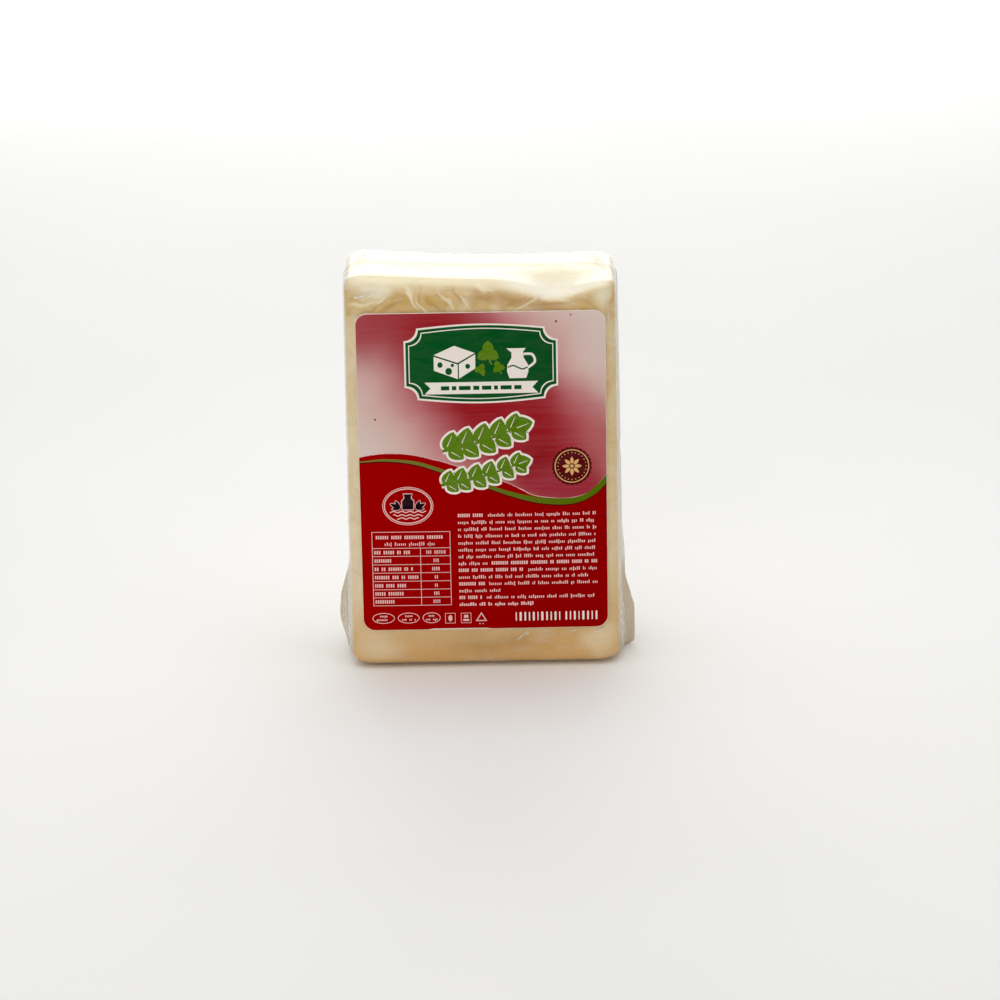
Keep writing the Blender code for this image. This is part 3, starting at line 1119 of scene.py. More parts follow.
def fill(outline: Loop, holes: Sequence[Loop], cuts: tuple[list[float], list[float]]) -> Flat:
    """Fills an outline with flat faces, cut into strips.

    Args:
        outline: The outer loop.
        holes: Loops that stay open.
        cuts: Where it is cut across and up.

    Returns:
        The points and the faces, which look up.
    """
    form = bmesh.new()
    for loop in (outline, *holes):
        verts = [form.verts.new((u, v, 0.0)) for u, v in loop]
        for start, end in zip(verts, verts[1:] + verts[:1]):
            form.edges.new((start, end))
    bmesh.ops.triangle_fill(form, use_beauty=True, use_dissolve=False, edges=form.edges[:], normal=(0, 0, 1))
    for axis, places in enumerate(cuts):
        low = min(point[axis] for point in outline)
        high = max(point[axis] for point in outline)
        way = (1.0, 0.0, 0.0) if axis == 0 else (0.0, 1.0, 0.0)
        for place in places:
            if low + LEAST_STRIP < place < high - LEAST_STRIP:
                geometry = form.verts[:] + form.edges[:] + form.faces[:]
                at = [place * part for part in way]
                bmesh.ops.bisect_plane(form, geom=geometry, dist=1e-5, plane_co=at, plane_no=way)
    form.verts.index_update()
    form.normal_update()
    points = [(vert.co.x, vert.co.y) for vert in form.verts]
    faces = []
    for face in form.faces:
        ring = [vert.index for vert in face.verts]
        faces.append(tuple(ring if face.normal.z > 0 else reversed(ring)))
    form.free()
    return points, faces


class PrintSheet:
    """Collects plates of one ink into one piece."""

    def __init__(self, face: LabelFace) -> None:
        self.face = face
        self.points: list[Triple] = []
        self.faces: list[Face] = []

    def add_flat(self, flat: Flat, layer: Layer) -> None:
        """Adds flat faces as a thin closed plate.

        Args:
            flat: The points and the faces.
            layer: How far over the film it lies.
        """
        points, faces = flat
        low, high = layer.value
        first, count = len(self.points), len(points)
        self.points += [self.face.at(u, v, low) for u, v in points]
        self.points += [self.face.at(u, v, high) for u, v in points]
        edges = {(ring[i - 1], ring[i]) for ring in faces for i in range(len(ring))}
        for ring in faces:
            self.faces.append(tuple(first + count + index for index in ring))
            self.faces.append(tuple(first + index for index in reversed(ring)))
        for start, end in sorted(edges):
            if (end, start) not in edges:
                low_start, low_end = first + start, first + end
                self.faces.append((low_start, low_end, low_end + count, low_start + count))

    def add(self, outline: Loop, layer: Layer, holes: Sequence[Loop] = ()) -> None:
        """Adds an outline and its open holes as a plate on a layer, cut where the front bends."""
        self.add_flat(fill(outline, holes, self.face.cuts()), layer)

    def add_band(self, first: Loop, second: Loop, layer: Layer, closed: bool = True) -> None:
        """Adds the band between two lines of equally many points.

        Args:
            first: The line on the band's right, seen along it.
            second: The line on its left.
            layer: How far over the film it lies.
            closed: Whether the lines are rings.
        """
        count = len(first)
        faces = []
        for index in range(count if closed else count - 1):
            after = (index + 1) % count
            faces.append((index, after, count + after, count + index))
        self.add_flat((first + second, faces), layer)

    def add_box(self, left: float, low: float, right: float, high: float, layer: Layer) -> None:
        """Adds a small upright rectangle.

        Args:
            left: Its left edge.
            low: Its lower edge.
            right: Its right edge.
            high: Its upper edge.
            layer: How far over the film it lies.
        """
        corners = [(left, low), (right, low), (right, high), (left, high)]
        if max(right - left, high - low) > LARGEST_FLAT_BOX:
            self.add(corners, layer)
        else:
            self.add_flat((corners, [(0, 1, 2, 3)]), layer)

    def add_line(self, line: Loop, width: float | Callable[[float], float], layer: Layer) -> None:
        """Adds a line with a width, which may change along it."""
        right, left = stroke(line, width if callable(width) else lambda share: width)
        self.add_band(right, left, layer, closed=False)


# Outlines in label millimetres


def oval(middle: Point, across: float, up: float, count: int = 48, start: float = 0.0) -> Loop:
    """An oval's outline, anticlockwise: its middle, half its width and height, its points and first angle."""
    turns = [start + 2 * math.pi * index / count for index in range(count)]
    return [(middle[0] + across * math.cos(turn), middle[1] + up * math.sin(turn)) for turn in turns]


def scalloped(middle: Point, radius: float, bulge: float, scallops: int) -> Loop:
    """A round seal's edge of small scallops.

    Args:
        middle: Its middle.
        radius: Its outer radius.
        bulge: How deep the scallops are.
        scallops: How many there are.

    Returns:
        The outline, anticlockwise.
    """
    count = scallops * 6
    loop = []
    for index in range(count):
        turn = 2 * math.pi * index / count
        reach = radius - bulge * (1 - abs(math.sin(turn * scallops / 2)))
        loop.append((middle[0] + reach * math.cos(turn), middle[1] + reach * math.sin(turn)))
    return loop


def rounded(left: float, low: float, right: float, high: float, corner: float, steps: int = 6) -> Loop:
    """A rectangle with round corners.

    Args:
        left: Its left edge.
        low: Its lower edge.
        right: Its right edge.
        high: Its upper edge.
        corner: The corners' radius.
        steps: How many steps each corner has.

    Returns:
        The outline, anticlockwise.
    """
    loop = []
    middles = ((right - corner, high - corner), (left + corner, high - corner))
    middles += ((left + corner, low + corner), (right - corner, low + corner))
    for quarter, (u, v) in enumerate(middles):
        for step in range(steps + 1):
            turn = math.pi / 2 * (quarter + step / steps)
            loop.append((u + corner * math.cos(turn), v + corner * math.sin(turn)))
    return loop


def curve(points: Sequence[Point], steps: int = 8) -> Loop:
    """A smooth line through a few points.

    Args:
        points: The points.
        steps: How many steps lie between two of them.

    Returns:
        The line.
    """
    ends = [points[0], *points, points[-1]]
    line = []
    for before, start, end, after in zip(ends, ends[1:], ends[2:], ends[3:]):
        for step in range(steps):
            t = step / steps
            place = []
            for a, b, c, d in zip(before, start, end, after):
                square, cube = 2 * a - 5 * b + 4 * c - d, 3 * b - a - 3 * c + d
                place.append(0.5 * (2 * b + (c - a) * t + square * t**2 + cube * t**3))
            line.append((place[0], place[1]))
    return line + [tuple(points[-1])]


def stroke(line: Loop, width: Callable[[float], float]) -> tuple[Loop, Loop]:
    """The two sides of a line with a width that may change along it.

    Args:
        line: The line's points.
        width: The width at a share of the way along.

    Returns:
        The right side and the left side, seen along the line.
    """
    right, left = [], []
    last = len(line) - 1
    for index, (u, v) in enumerate(line):
        before, after = line[max(0, index - 1)], line[min(last, index + 1)]
        run_u, run_v = after[0] - before[0], after[1] - before[1]
        length = math.hypot(run_u, run_v)
        half = width(index / last) / 2
        side_u, side_v = run_v / length * half, -run_u / length * half
        right.append((u + side_u, v + side_v))
        left.append((u - side_u, v - side_v))
    return right, left


def grown(loop: Loop, by: float) -> Loop:
    """An outline moved outward, for an anticlockwise loop.

    Args:
        loop: The outline.
        by: How far it moves.

    Returns:
        The larger outline.
    """
    count = len(loop)
    moved = []
    for index, (u, v) in enumerate(loop):
        before, after = loop[index - 1], loop[(index + 1) % count]
        run_u, run_v = after[0] - before[0], after[1] - before[1]
        length = math.hypot(run_u, run_v) or 1.0
        moved.append((u + run_v / length * by, v - run_u / length * by))
    return moved


def leaf(base: Point, turn: float, length: float, width: float, bend: float = 0.12) -> Loop:
    """A pointed leaf.

    Args:
        base: Where it starts.
        turn: The way it points, in degrees.
        length: Its length.
        width: Its width.
        bend: How much its midrib bows, as a share of the length.

    Returns:
        The outline, anticlockwise.
    """
    steps = 10
    turned = math.radians(turn)
    along, beside = (math.cos(turned), math.sin(turned)), (-math.sin(turned), math.cos(turned))
    sides: list[Loop] = [[], []]
    for step in range(steps + 1):
        t = step / steps
        half = width / 2 * math.sin(math.pi * t**0.8) ** 0.8
        bow = bend * length * math.sin(math.pi * t)
        for side, sign in zip(sides, (-1, 1)):
            across = bow + sign * half
            u = base[0] + along[0] * t * length + beside[0] * across
            side.append((u, base[1] + along[1] * t * length + beside[1] * across))
    return sides[0] + sides[1][-2:0:-1]


# The sub-assemblies


def new_piece(name: str, mesh: Mesh, look: Material, slot: str, *stands_for: str) -> None:
    """Adds a piece that rides on the pack's one body.

    Args:
        name: The piece's name.
        mesh: Its mesh.
        look: Its material.
        slot: A material slot's name; not used.
        *stands_for: The CAD nodes that it replaces.
    """
    mesh.materials.append(look)
    made = bpy.data.objects.new(name, mesh)
    bpy.context.scene.collection.objects.link(made)
    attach(made, "root")
    if stands_for:
        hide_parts(*stands_for)
    log.info("%s: %d faces", name, len(mesh.polygons))


@dataclass(frozen=True)
class Fold:
    """A small pinch of film: its path over a face, its width and its height in millimetres, and the face."""

    path: tuple[Point, ...]
    width: float
    height: float
    side: Side = Side.FRONT


@dataclass
class CheesePack:
    """The cheese, the film drawn over it and the film's small folds."""

    block: CutBlock
    # Real ridges of film; their near-white colour is partly painted highlight.
    folds: tuple[Fold, ...] = (
        Fold(((11.4, 10.2), (13.2, 11.7), (15.6, 13.6)), 0.55, 0.22),
        Fold(((14.9, 12), (16, 13.1)), 0.35, 0.14),
        Fold(((39.6, 12.7), (42, 13.5), (44.8, 15)), 0.6, 0.25),
        Fold(((31.4, 13.1), (33.6, 14)), 0.4, 0.16),
        Fold(((-47.2, 140.6), (-42.6, 141.6), (-37.4, 144)), 0.9, 0.12),
        Fold(((46.6, 139.4), (48.4, 134), (48.6, 128.6)), 0.6, 0.16),
        Fold(((39, 14.6), (42.6, 11.4), (46.2, 8)), 0.5, 0.16, Side.TOP),
        Fold(((40.2, 10.4), (44, 6.6), (47.4, 3.4)), 0.55, 0.2, Side.TOP),
        Fold(((41.6, 5.6), (44.8, 2.4), (48, -0.8)), 0.5, 0.2, Side.TOP),
        Fold(((42.2, 0.6), (45.4, -2.8), (48.2, -5.6)), 0.5, 0.16, Side.TOP),
        Fold(((-48, 3), (-44.6, 6.2), (-40, 9.6)), 0.5, 0.16, Side.TOP),
        Fold(((-47.6, -2.2), (-44.8, 0.8), (-41.2, 3.2)), 0.45, 0.14, Side.TOP),
        Fold(((-14, 7), (-10, 20), (-4, 34)), 0.6, 0.26, Side.LEFT),
        Fold(((-9, 4), (-6.4, 17), (-2.6, 31)), 0.5, 0.22, Side.LEFT),
        Fold(((15, 8), (10.6, 19), (4.4, 33)), 0.6, 0.26, Side.LEFT),
        Fold(((8.4, 5), (6, 18), (2.6, 30)), 0.5, 0.2, Side.LEFT),
        Fold(((-15, 5), (-10.4, 16), (-4.2, 28)), 0.6, 0.26, Side.RIGHT),
        Fold(((-8.6, 3), (-6.2, 13), (-2.8, 25)), 0.5, 0.22, Side.RIGHT),
        Fold(((14.4, 6), (10, 17), (4.4, 28)), 0.6, 0.26, Side.RIGHT),
        Fold(((8, 4), (5.8, 14), (2.6, 26)), 0.5, 0.2, Side.RIGHT),
    )
    # The flap's edge line: partly the folded film, partly painted shadow.
    flap_edge: tuple[Fold, ...] = (
        Fold(((-41, 18.2), (-20, 18.3), (2, 18.1), (22, 18.3), (38, 18.2)), 0.8, 0.16, Side.TOP),
    )
    film_step: float = 0.0018
    cheese_step: float = 0.0026
    film_thickness: float = 0.00035
    # Grey-beige for the flap's edge: partly the folded film, partly painted shadow.
    flap_edge_shade_tint: Colour = srgb(186, 170, 132)
    lump: float = 0.00018
    seed: int = 7

    def rows(self, step: float, bends: int) -> list[list[float]]:
        """Where the three axes are cut.

        Args:
            step: The spacing over the flat.
            bends: How many cuts each soft edge has.

        Returns:
            The places on each axis.
        """
        block = self.block
        half_x, half_y, half_z = block.halves
        seal = [0.0, 0.0005, 0.00095, 0.0014, 0.0021]
        near_seal = sorted({side * at for at in seal for side in (-1, 1)})
        flap = [block.flap_end - 0.0014, block.flap_end - 0.0007, block.flap_end]
        depth = [at for at in stations(half_y, block.edge_y, block.edge_y, step, bends) if abs(at) > 0.0028]
        depth = [at for at in depth if min(abs(at - row) for row in flap) > 0.0006]
        return [
            stations(half_x, block.edge_x, block.edge_x, step, bends),
            sorted(depth + near_seal + flap),
            stations(half_z, block.foot_edge_z, block.edge_z, step, bends)[:-1] + [half_z - 0.0008, half_z],
        ]

    def skin(self, name: str, rows: list[list[float]], place: Callable[..., Vector]) -> Mesh:
        """A closed skin round the block, from its rows of cuts and where a point of the square box goes."""
        points, faces = box_skin(rows)
        return smooth_mesh(name, [place(*point) for point in points], faces)

    def cheese_point(self, x: float, y: float, z: float) -> Vector:
        """A point of the cheese, just inside the film and a little lumpy.

        Args:
            x: The place across on the square box.
            y: The place in depth.
            z: The place up, from the middle.

        Returns:
            The point in the CAD frame.
        """
        point = Vector(self.block.shaped(x, y, z, fine=True))
        soft, way = self.block.soft_edged(x, y, z)
        outward = Vector(way)
        point.z -= max(0.0, outward.z) * self.block.flap_at(soft[1])
        lumps = noise.noise(point * 130.0) * 0.5 + 0.5
        moved = point - outward * (self.film_thickness + self.lump * lumps)
        low = max(self.film_thickness, moved.z)
        return Vector((moved.x + self.block.shift_x, moved.y + self.block.shift_y, low))

    def build(self) -> None:
        """Builds the cheese, the film and the film's small folds."""
        cheese = self.skin("cheese_block", self.rows(self.cheese_step, 4), self.cheese_point)
        new_piece("cheese_block", cheese, CheeseFinish().material(), "cheese_in_film", "cheese_pack")
        film = self.skin("clear_film", self.rows(self.film_step, 6), self.block.bag_point)
        new_piece("clear_film", film, FilmFinish().material(), "clear_film", "cheese_pack")
        hidden = self.seeded_folds(Side.BACK, 12, 44.0, 12.0, 138.0)
        hidden += self.seeded_folds(Side.LEFT, 5, 17.0, 48.0, 138.0)
        hidden += self.seeded_folds(Side.RIGHT, 5, 17.0, 48.0, 138.0)
        folds = self.fold_mesh("film_folds", self.folds + tuple(hidden))
        new_piece("film_folds", folds, FoldFinish().material(), "clear_film")
        edge = self.fold_mesh("flap_edge", self.flap_edge)
        new_piece("flap_edge", edge, FoldFinish("flap_edge", self.flap_edge_shade_tint, 0.75).material(), "clear_film")

    def seeded_folds(self, side: Side, count: int, wide: float, low: float, high: float) -> list[Fold]:
        """Small folds on a face that the photograph doesn't show, most of them near its edges.

        Args:
            side: The face.
            count: How many there are.
            wide: Half the width that they spread over.
            low: The lowest place.
            high: The highest place.

        Returns:
            The folds.
        """
        draw = random.Random(f"{side.value} {self.seed}")
        made = []
        for _ in range(count):
            a = draw.choice((-1, 1)) * wide * draw.uniform(0.35, 1.0) ** 0.5
            b = draw.uniform(low, high)
            turn, long = draw.gauss(0.0, 0.7), draw.uniform(3.0, 9.0)
            run_a, run_b = math.cos(turn) * long * (-1 if a > 0 else 1), math.sin(turn) * long
            bow = draw.uniform(-0.12, 0.12)
            middle = (a + run_a / 2 - run_b * bow, b + run_b / 2 + run_a * bow)
            path = ((a, b), middle, (a + run_a, b + run_b))
            made.append(Fold(path, draw.uniform(0.35, 0.60), draw.uniform(0.10, 0.20), side))
        return made

    def fold_mesh(self, name: str, folds: Sequence[Fold]) -> Mesh:
        """Small folds, each a low closed ridge that tapers to both ends.

        Args:
            name: The mesh's name.
            folds: The folds.

        Returns:
            The mesh, shaded smooth.
        """
        points: list[Triple] = []
        faces: list[Face] = []
        profile = ((-0.5, -0.05), (-0.26, 0.62), (0.0, 1.0), (0.26, 0.62), (0.5, -0.05), (0.0, -0.30))
        for fold in folds:
            mirrored = -1 if fold.side in (Side.BACK, Side.LEFT) else 1
            line = curve(fold.path, 6)
            first, last, size = len(points), len(line) - 1, len(profile)
            for index, (u, v) in enumerate(line):
                taper = 0.12 + 0.88 * math.sin(math.pi * index / last) ** 0.7
                before, after = line[max(0, index - 1)], line[min(last, index + 1)]
                run_u, run_v = after[0] - before[0], after[1] - before[1]
                length = math.hypot(run_u, run_v)
                for across, over in profile:
                    shift = mirrored * across * fold.width * taper / length
                    a, b = (u + run_v * shift) * MM, (v - run_u * shift) * MM
                    points.append(tuple(self.block.on_face(fold.side, a, b, over * fold.height * taper * MM)))
            for index in range(last):
                for side in range(size):
                    a, b = first + index * size + side, first + index * size + (side + 1) % size
                    faces.append((a, b, b + size, a + size))
            faces.append(tuple(first + side for side in reversed(range(size))))
            faces.append(tuple(first + last * size + side for side in range(size)))
        return smooth_mesh(name, points, faces)


@dataclass
class Label:
    """The printed label: its paper, its ground, and everything printed on it."""

    face: LabelFace
    margin: float = 0.14
    sharp: float = 35.0
    shade_width: float = 0.45
    ground_low: float = 40.0
    slip_height: float = 0.32

    def sheet(self) -> PrintSheet:
        """An empty sheet for one ink."""
        return PrintSheet(self.face)

    def sheets(self, count: int) -> list[PrintSheet]:
        """Several empty sheets."""
        return [self.sheet() for _ in range(count)]

    def dress(self, name: str, sheet: PrintSheet, look: Material, *stands_for: str) -> None:
        """Turns a sheet of plates into a piece.

        Args:
            name: The piece's name.
            sheet: The plates.
            look: Their material.
            *stands_for: The CAD nodes that the piece replaces.
        """
        mesh = smooth_mesh(name, sheet.points, sheet.faces)
        mesh.set_sharp_from_angle(angle=math.radians(self.sharp))
        new_piece(name, mesh, look, "label_print", *stands_for)

    def ink(self, name: str, sheet: PrintSheet, ink: Ink) -> None:
        """Turns a sheet of plates into a piece of one ink."""
        self.dress(name, sheet, ink.value.material())

    def plate(self, name: str, outline: Loop, layer: Layer, look: Material, *stands_for: str) -> None:
        """Makes a piece of one plate.

        Args:
            name: The piece's name.
            outline: The plate's outline.
            layer: How far over the film it lies.
            look: Its material.
            *stands_for: The CAD nodes that the piece replaces.
        """
        sheet = self.sheet()
        sheet.add(outline, layer)
        self.dress(name, sheet, look, *stands_for)

    def build(self) -> None:
        """Builds every layer of the label, from the paper up."""
        self.build_paper()
        self.build_fields()
        Plaque(self).build()
        Sprigs(self).build()
        RoundSeal(self).build()
        Emblem(self).build()
        FactTable(self).build()
        SmallPrint(self).build()
        FootMarks(self).build()

    def build_paper(self) -> None:
        """The paper and the cloudy ground printed on it."""
        face, base = self.face, self.margin
        half = face.width / 2
        outline = rounded(-half, 0, half, face.height, face.corner, 8)
        self.plate("label_paper", outline, Layer.PAPER, PaperFinish().material(), "label")
        edge, high = half - base, face.height - base * 1.6
        outline = rounded(-edge, self.ground_low, edge, high, face.corner, 8)
        self.plate("label_ground", outline, Layer.GROUND, GroundFinish().material())

    def build_fields(self) -> None:
        """The red lower field, the green stripe that sweeps over it, and the thin lines along both."""
        half = self.face.width / 2 - self.margin
        crest = [(-half, 66.2), (-39.1, 67.5), (-33.4, 67.8), (-28.0, 67.4), (-22.8, 66.5), (-15.6, 64.7)]
        crest += [(-9.1, 62.5), (-1.2, 59.8), (6.8, 56.9), (14.0, 53.4), (18.7, 51.0)]
        upper = [(27.8, 49.7), (34.0, 50.2), (38.5, 51.9), (42.0, 55.0), (half, 58.3)]
        top = curve(crest + upper, 6)
        self.plate("red_field", self.below(top, half), Layer.FIELD, Ink.RED.value.material())
        pale = self.sheet()
        pale.add_line(top, 0.34, Layer.FIELD)
        self.ink("field_line", pale, Ink.PRINT)
        rows = [(-half, 64.7, 64.2), (-40.0, 65.4, 64.7), (-35.9, 65.7, 64.8), (-29.4, 65.4, 64.3)]
        rows += [(-22.9, 64.4, 63.0), (-15.7, 62.0, 60.5), (-8.0, 59.2, 57.7), (0.9, 55.9, 54.4)]
        rows += [(9.3, 52.9, 51.2), (18.7, 50.6, 48.4), (27.8, 49.8, 47.4), (33.5, 50.1, 47.9)]
        rows += [(38.0, 51.8, 49.5), (42.0, 55.2, 52.2), (half, 58.4, 55.2)]
        above = [(u, high) for u, high, _ in rows]
        below = [(u, low) for u, _, low in rows]
        stripe = self.sheet()
        stripe.add_band(curve(below, 6), curve(above, 6), Layer.STRIPE, closed=False)
        self.ink("green_stripe", stripe, Ink.STRIPE)
        shade = self.sheet()
        lower = [(u, v - self.shade_width) for u, v in below]
        shade.add_band(curve(lower, 6), curve(below, 6), Layer.SHADE, closed=False)
        self.ink("stripe_shade", shade, Ink.SHADE)

    def below(self, top: Loop, half: float) -> Loop:
        """The red field's outline: under the crest line, down to the label's round lower corners.

        Args:
            top: The crest line, from left to right.
            half: Half the field's width.

        Returns:
            The outline, anticlockwise.
        """
        base, corner = self.margin, self.face.corner
        cut = base + self.slip_height
        foot = rounded(-half, base, half, 60.0, corner, 8)
        left_corner, right_corner = foot[18:27], foot[27:36]
        slip = [(-21.5, base), (-19.0, cut), (0.0, cut), (2.5, base)]
        return left_corner + slip + right_corner + list(reversed(top))


@dataclass
class Plaque:
    """A plain plaque at the label's head: a wedge of cheese, a milk jug and clover over a ribbon."""

    label: Label
    middle: Point = (0.0, 101.0)
    half_width: float = 27.6
    half_height: float = 13.2
    bite: float = 4.6
    arch: float = 1.5
    wedge_spot: Triple = (-17.0, -0.5, 8.6)
    jug_spot: Triple = (13.2, -0.6, 8.4)

    def outline(self, inset: float) -> Loop:
        """The plaque's outline, with its corners bitten in.

        Args:
            inset: How far inside the full size it lies.

        Returns:
            The outline, anticlockwise.
        """
        half_u, half_v = self.half_width - inset, self.half_height - inset
        bite = self.bite
        loop: Loop = []
        for quarter in range(4):
            sign_u, sign_v = ((1, 1), (-1, 1), (-1, -1), (1, -1))[quarter]
            corner = (self.middle[0] + sign_u * half_u, self.middle[1] + sign_v * half_v)
            first = math.pi * (1.5 + 0.5 * quarter)
            for step in range(9):
                turn = first - math.pi / 2 * step / 8
                loop.append((corner[0] + bite * math.cos(turn), corner[1] + bite * math.sin(turn)))
            if quarter in (0, 2):
                loop += self.bow(loop[-1], sign_v, half_u - bite)
        return loop

    def bow(self, start: Point, sign: int, half: float) -> Loop:
        """The slightly arched long side between two bitten corners.

        Args:
            start: Where the side begins.
            sign: 1 for the upper side and -1 for the lower one.
            half: Half the side's length.

        Returns:
            The points between the corners.
        """
        line = []
        for step in range(1, 16):
            t = step / 16
            rise = self.arch * math.sin(math.pi * t) * sign
            line.append((start[0] - sign * 2 * half * t, start[1] + rise))
        return line

    def place(self, points: Sequence[Point], left: float, low: float, size: float) -> Loop:
        """A small drawing's points, placed on the plaque."""
        return [(self.middle[0] + left + u * size, self.middle[1] + low + v * size) for u, v in points]

    def __post_init__(self) -> None:
        """Starts the sheets for the pale shapes, for the leaves and for the dark details."""
        self.pale, self.leaves, self.dark = self.label.sheets(3)

    def build(self) -> None:
        """Builds the plaque's edging, field and motifs."""
        label = self.label
        label.plate("plaque_edging", self.outline(-0.1), Layer.EDGING, Ink.PALE.value.material())
        label.plate("plaque_field", self.outline(0.55), Layer.MOTIF, Ink.PINE.value.material())
        self.pale.add_band(self.outline(1.5), self.outline(1.85), Layer.DETAIL)
        self.add_wedge()
        self.add_jug()
        self.add_ribbon()
        self.add_clover()
        label.ink("plaque_motifs", self.pale, Ink.PALE)
        label.ink("plaque_leaves", self.leaves, Ink.LEAF)
        label.ink("plaque_details", self.dark, Ink.PINE)

    def add_wedge(self) -> None:
        """A wedge of cheese with round holes."""
        size = self.wedge_spot[2]
        top = [(0, 0.45), (1.0, 0.10), (1.72, 0.52), (0.86, 0.84)]
        side = [(0, 0.38), (0, -0.22), (1.0, -0.60), (1.0, 0.03)]
        end = [(1.05, -0.58), (1.74, -0.14), (1.74, 0.46), (1.05, 0.05)]
        for loop in (top, side, end):
            self.pale.add(self.place(loop, *self.wedge_spot), Layer.DETAIL)
        for u, v, hole in ((0.26, 0.02, 0.11), (0.62, -0.26, 0.14), (0.78, 0.0, 0.07), (1.42, -0.05, 0.10)):
            middle = self.place([(u, v)], *self.wedge_spot)[0]
            self.dark.add(oval(middle, hole * size, hole * 9.4, 18), Layer.FINE)

    def add_jug(self) -> None:
        """A milk jug with a handle and the line of milk in it."""
        body = [(-0.36, -0.60), (0.36, -0.60), (0.46, -0.30), (0.44, 0.0), (0.26, 0.30), (0.24, 0.56)]
        body += [(0.36, 0.72), (-0.48, 0.72), (-0.26, 0.54), (-0.26, 0.30), (-0.44, 0.0), (-0.46, -0.30)]
        self.pale.add(self.place(body, *self.jug_spot), Layer.DETAIL)
        handle = curve([(0.26, 0.46), (0.62, 0.44), (0.74, 0.12), (0.44, -0.14)], 5)
        self.pale.add_line(self.place(handle, *self.jug_spot), 0.9, Layer.DETAIL)
        wave = curve([(-0.42, -0.12), (-0.20, -0.04), (0.0, -0.12), (0.20, -0.20), (0.42, -0.12)], 5)
        self.dark.add_line(self.place(wave, *self.jug_spot), 0.5, Layer.FINE)

    def add_ribbon(self) -> None:
        """A ribbon across the plaque's foot with a row of plain dashes."""
        ribbon = [(-20.5, -11.2), (20.5, -11.2), (18.4, -9.0), (20.5, -6.8), (-20.5, -6.8), (-18.4, -9.0)]
        self.pale.add(self.place(ribbon, 0.0, 0.0, 1.0), Layer.DETAIL)
        at = -14.6
        for length in (3.0, 1.6, 4.2, 2.2, 3.4, 1.4, 4.0, 2.6):
            left, low = self.middle[0] + at, self.middle[1] - 9.75
            self.dark.add_box(left, low, left + length, low + 1.5, Layer.FINE)
            at += length + 0.95

    def add_clover(self) -> None:
        """Clover leaves between the wedge and the jug."""
        for u, v, size, tilt in ((2.6, 4.0, 4.4, 0), (6.2, -1.4, 2.5, 20), (-0.2, -2.2, 2.4, -25)):
            middle = (self.middle[0] + u, self.middle[1] + v)
            for turn in (90, 210, 330):
                self.leaves.add(leaf(middle, turn + tilt, size, size * 0.92, 0.0), Layer.DETAIL)
            bend, foot = (middle[0] + 0.4, middle[1] - size * 0.6), (middle[0] + 1.3, middle[1] - size)
            self.leaves.add_line(curve([middle, bend, foot], 4), 0.6, Layer.FINE)


@dataclass
class Sprigs:
    """Two slanted sprigs of broad green leaves with a pale outline, where the label has its large lines."""

    label: Label
    outline: float = 0.85

    def __post_init__(self) -> None:
        """Starts the sheets for the pale shapes below, for the leaves and stem, and for the midribs."""
        self.edging, self.green, self.veins = self.label.sheets(3)

    def build(self) -> None:
        """Builds both sprigs: the pale shapes below, and the green ones on them."""
        self.add_sprig((-14.6, 68.4), (12.2, 76.6), 10.6, 6.6, 5)
        self.add_sprig((-15.2, 55.6), (13.0, 63.2), 8.2, 5.2, 6)
        self.label.ink("sprig_edging", self.edging, Ink.PALE)
        self.label.ink("sprig_leaves", self.green, Ink.LEAF)
        self.label.ink("sprig_veins", self.veins, Ink.PALE)

    def add_sprig(self, start: Point, end: Point, length: float, width: float, pairs: int) -> None:
        """Adds one sprig.

        Args:
            start: The stem's foot.
            end: The stem's tip.
            length: The leaves' length.
            width: The leaves' width.
            pairs: How many pairs of leaves it has.
        """
        run = math.degrees(math.atan2(end[1] - start[1], end[0] - start[0]))
        middle = ((start[0] + end[0]) / 2, (start[1] + end[1]) / 2 - 1.0)
        stem = curve([start, middle, end], 8)
        leaves = []
        for index in range(pairs):
            share = (index + 0.35) / pairs
            at = share * (len(stem) - 1)
            low, high, part = stem[int(at)], stem[int(at) + 1], at - int(at)
            u, v = low[0] + (high[0] - low[0]) * part, low[1] + (high[1] - low[1]) * part
            size = 1.0 - 0.25 * abs(share - 0.4)
            leaves.append(((u, v), run + 50, length * 0.78 * size, width * size, -0.10))
            leaves.append(((u + 1.0, v), run - 48, length * 0.66 * size, width * 0.90 * size, 0.10))
        leaves.append((stem[-2], run + 4, length * 0.72, width * 0.95, 0.06))
        for base, turn, long, wide, bend in leaves:
            shape = leaf(base, turn, long, wide, bend)
            self.edging.add(grown(shape, self.outline), Layer.EDGING)
            self.green.add(shape, Layer.MOTIF)
            turned = math.radians(turn)
            cos, sin = math.cos(turned), math.sin(turned)
            line = [(base[0] + cos * long * t, base[1] + sin * long * t) for t in (0.2, 0.5, 0.8)]
            self.veins.add_line(line, lambda t: 0.32 - 0.2 * t, Layer.DETAIL)
        self.edging.add_line(stem, lambda t: 2.6 - 0.8 * t, Layer.EDGING)
        self.green.add_line(stem, lambda t: 1.1 - 0.6 * t, Layer.DETAIL)


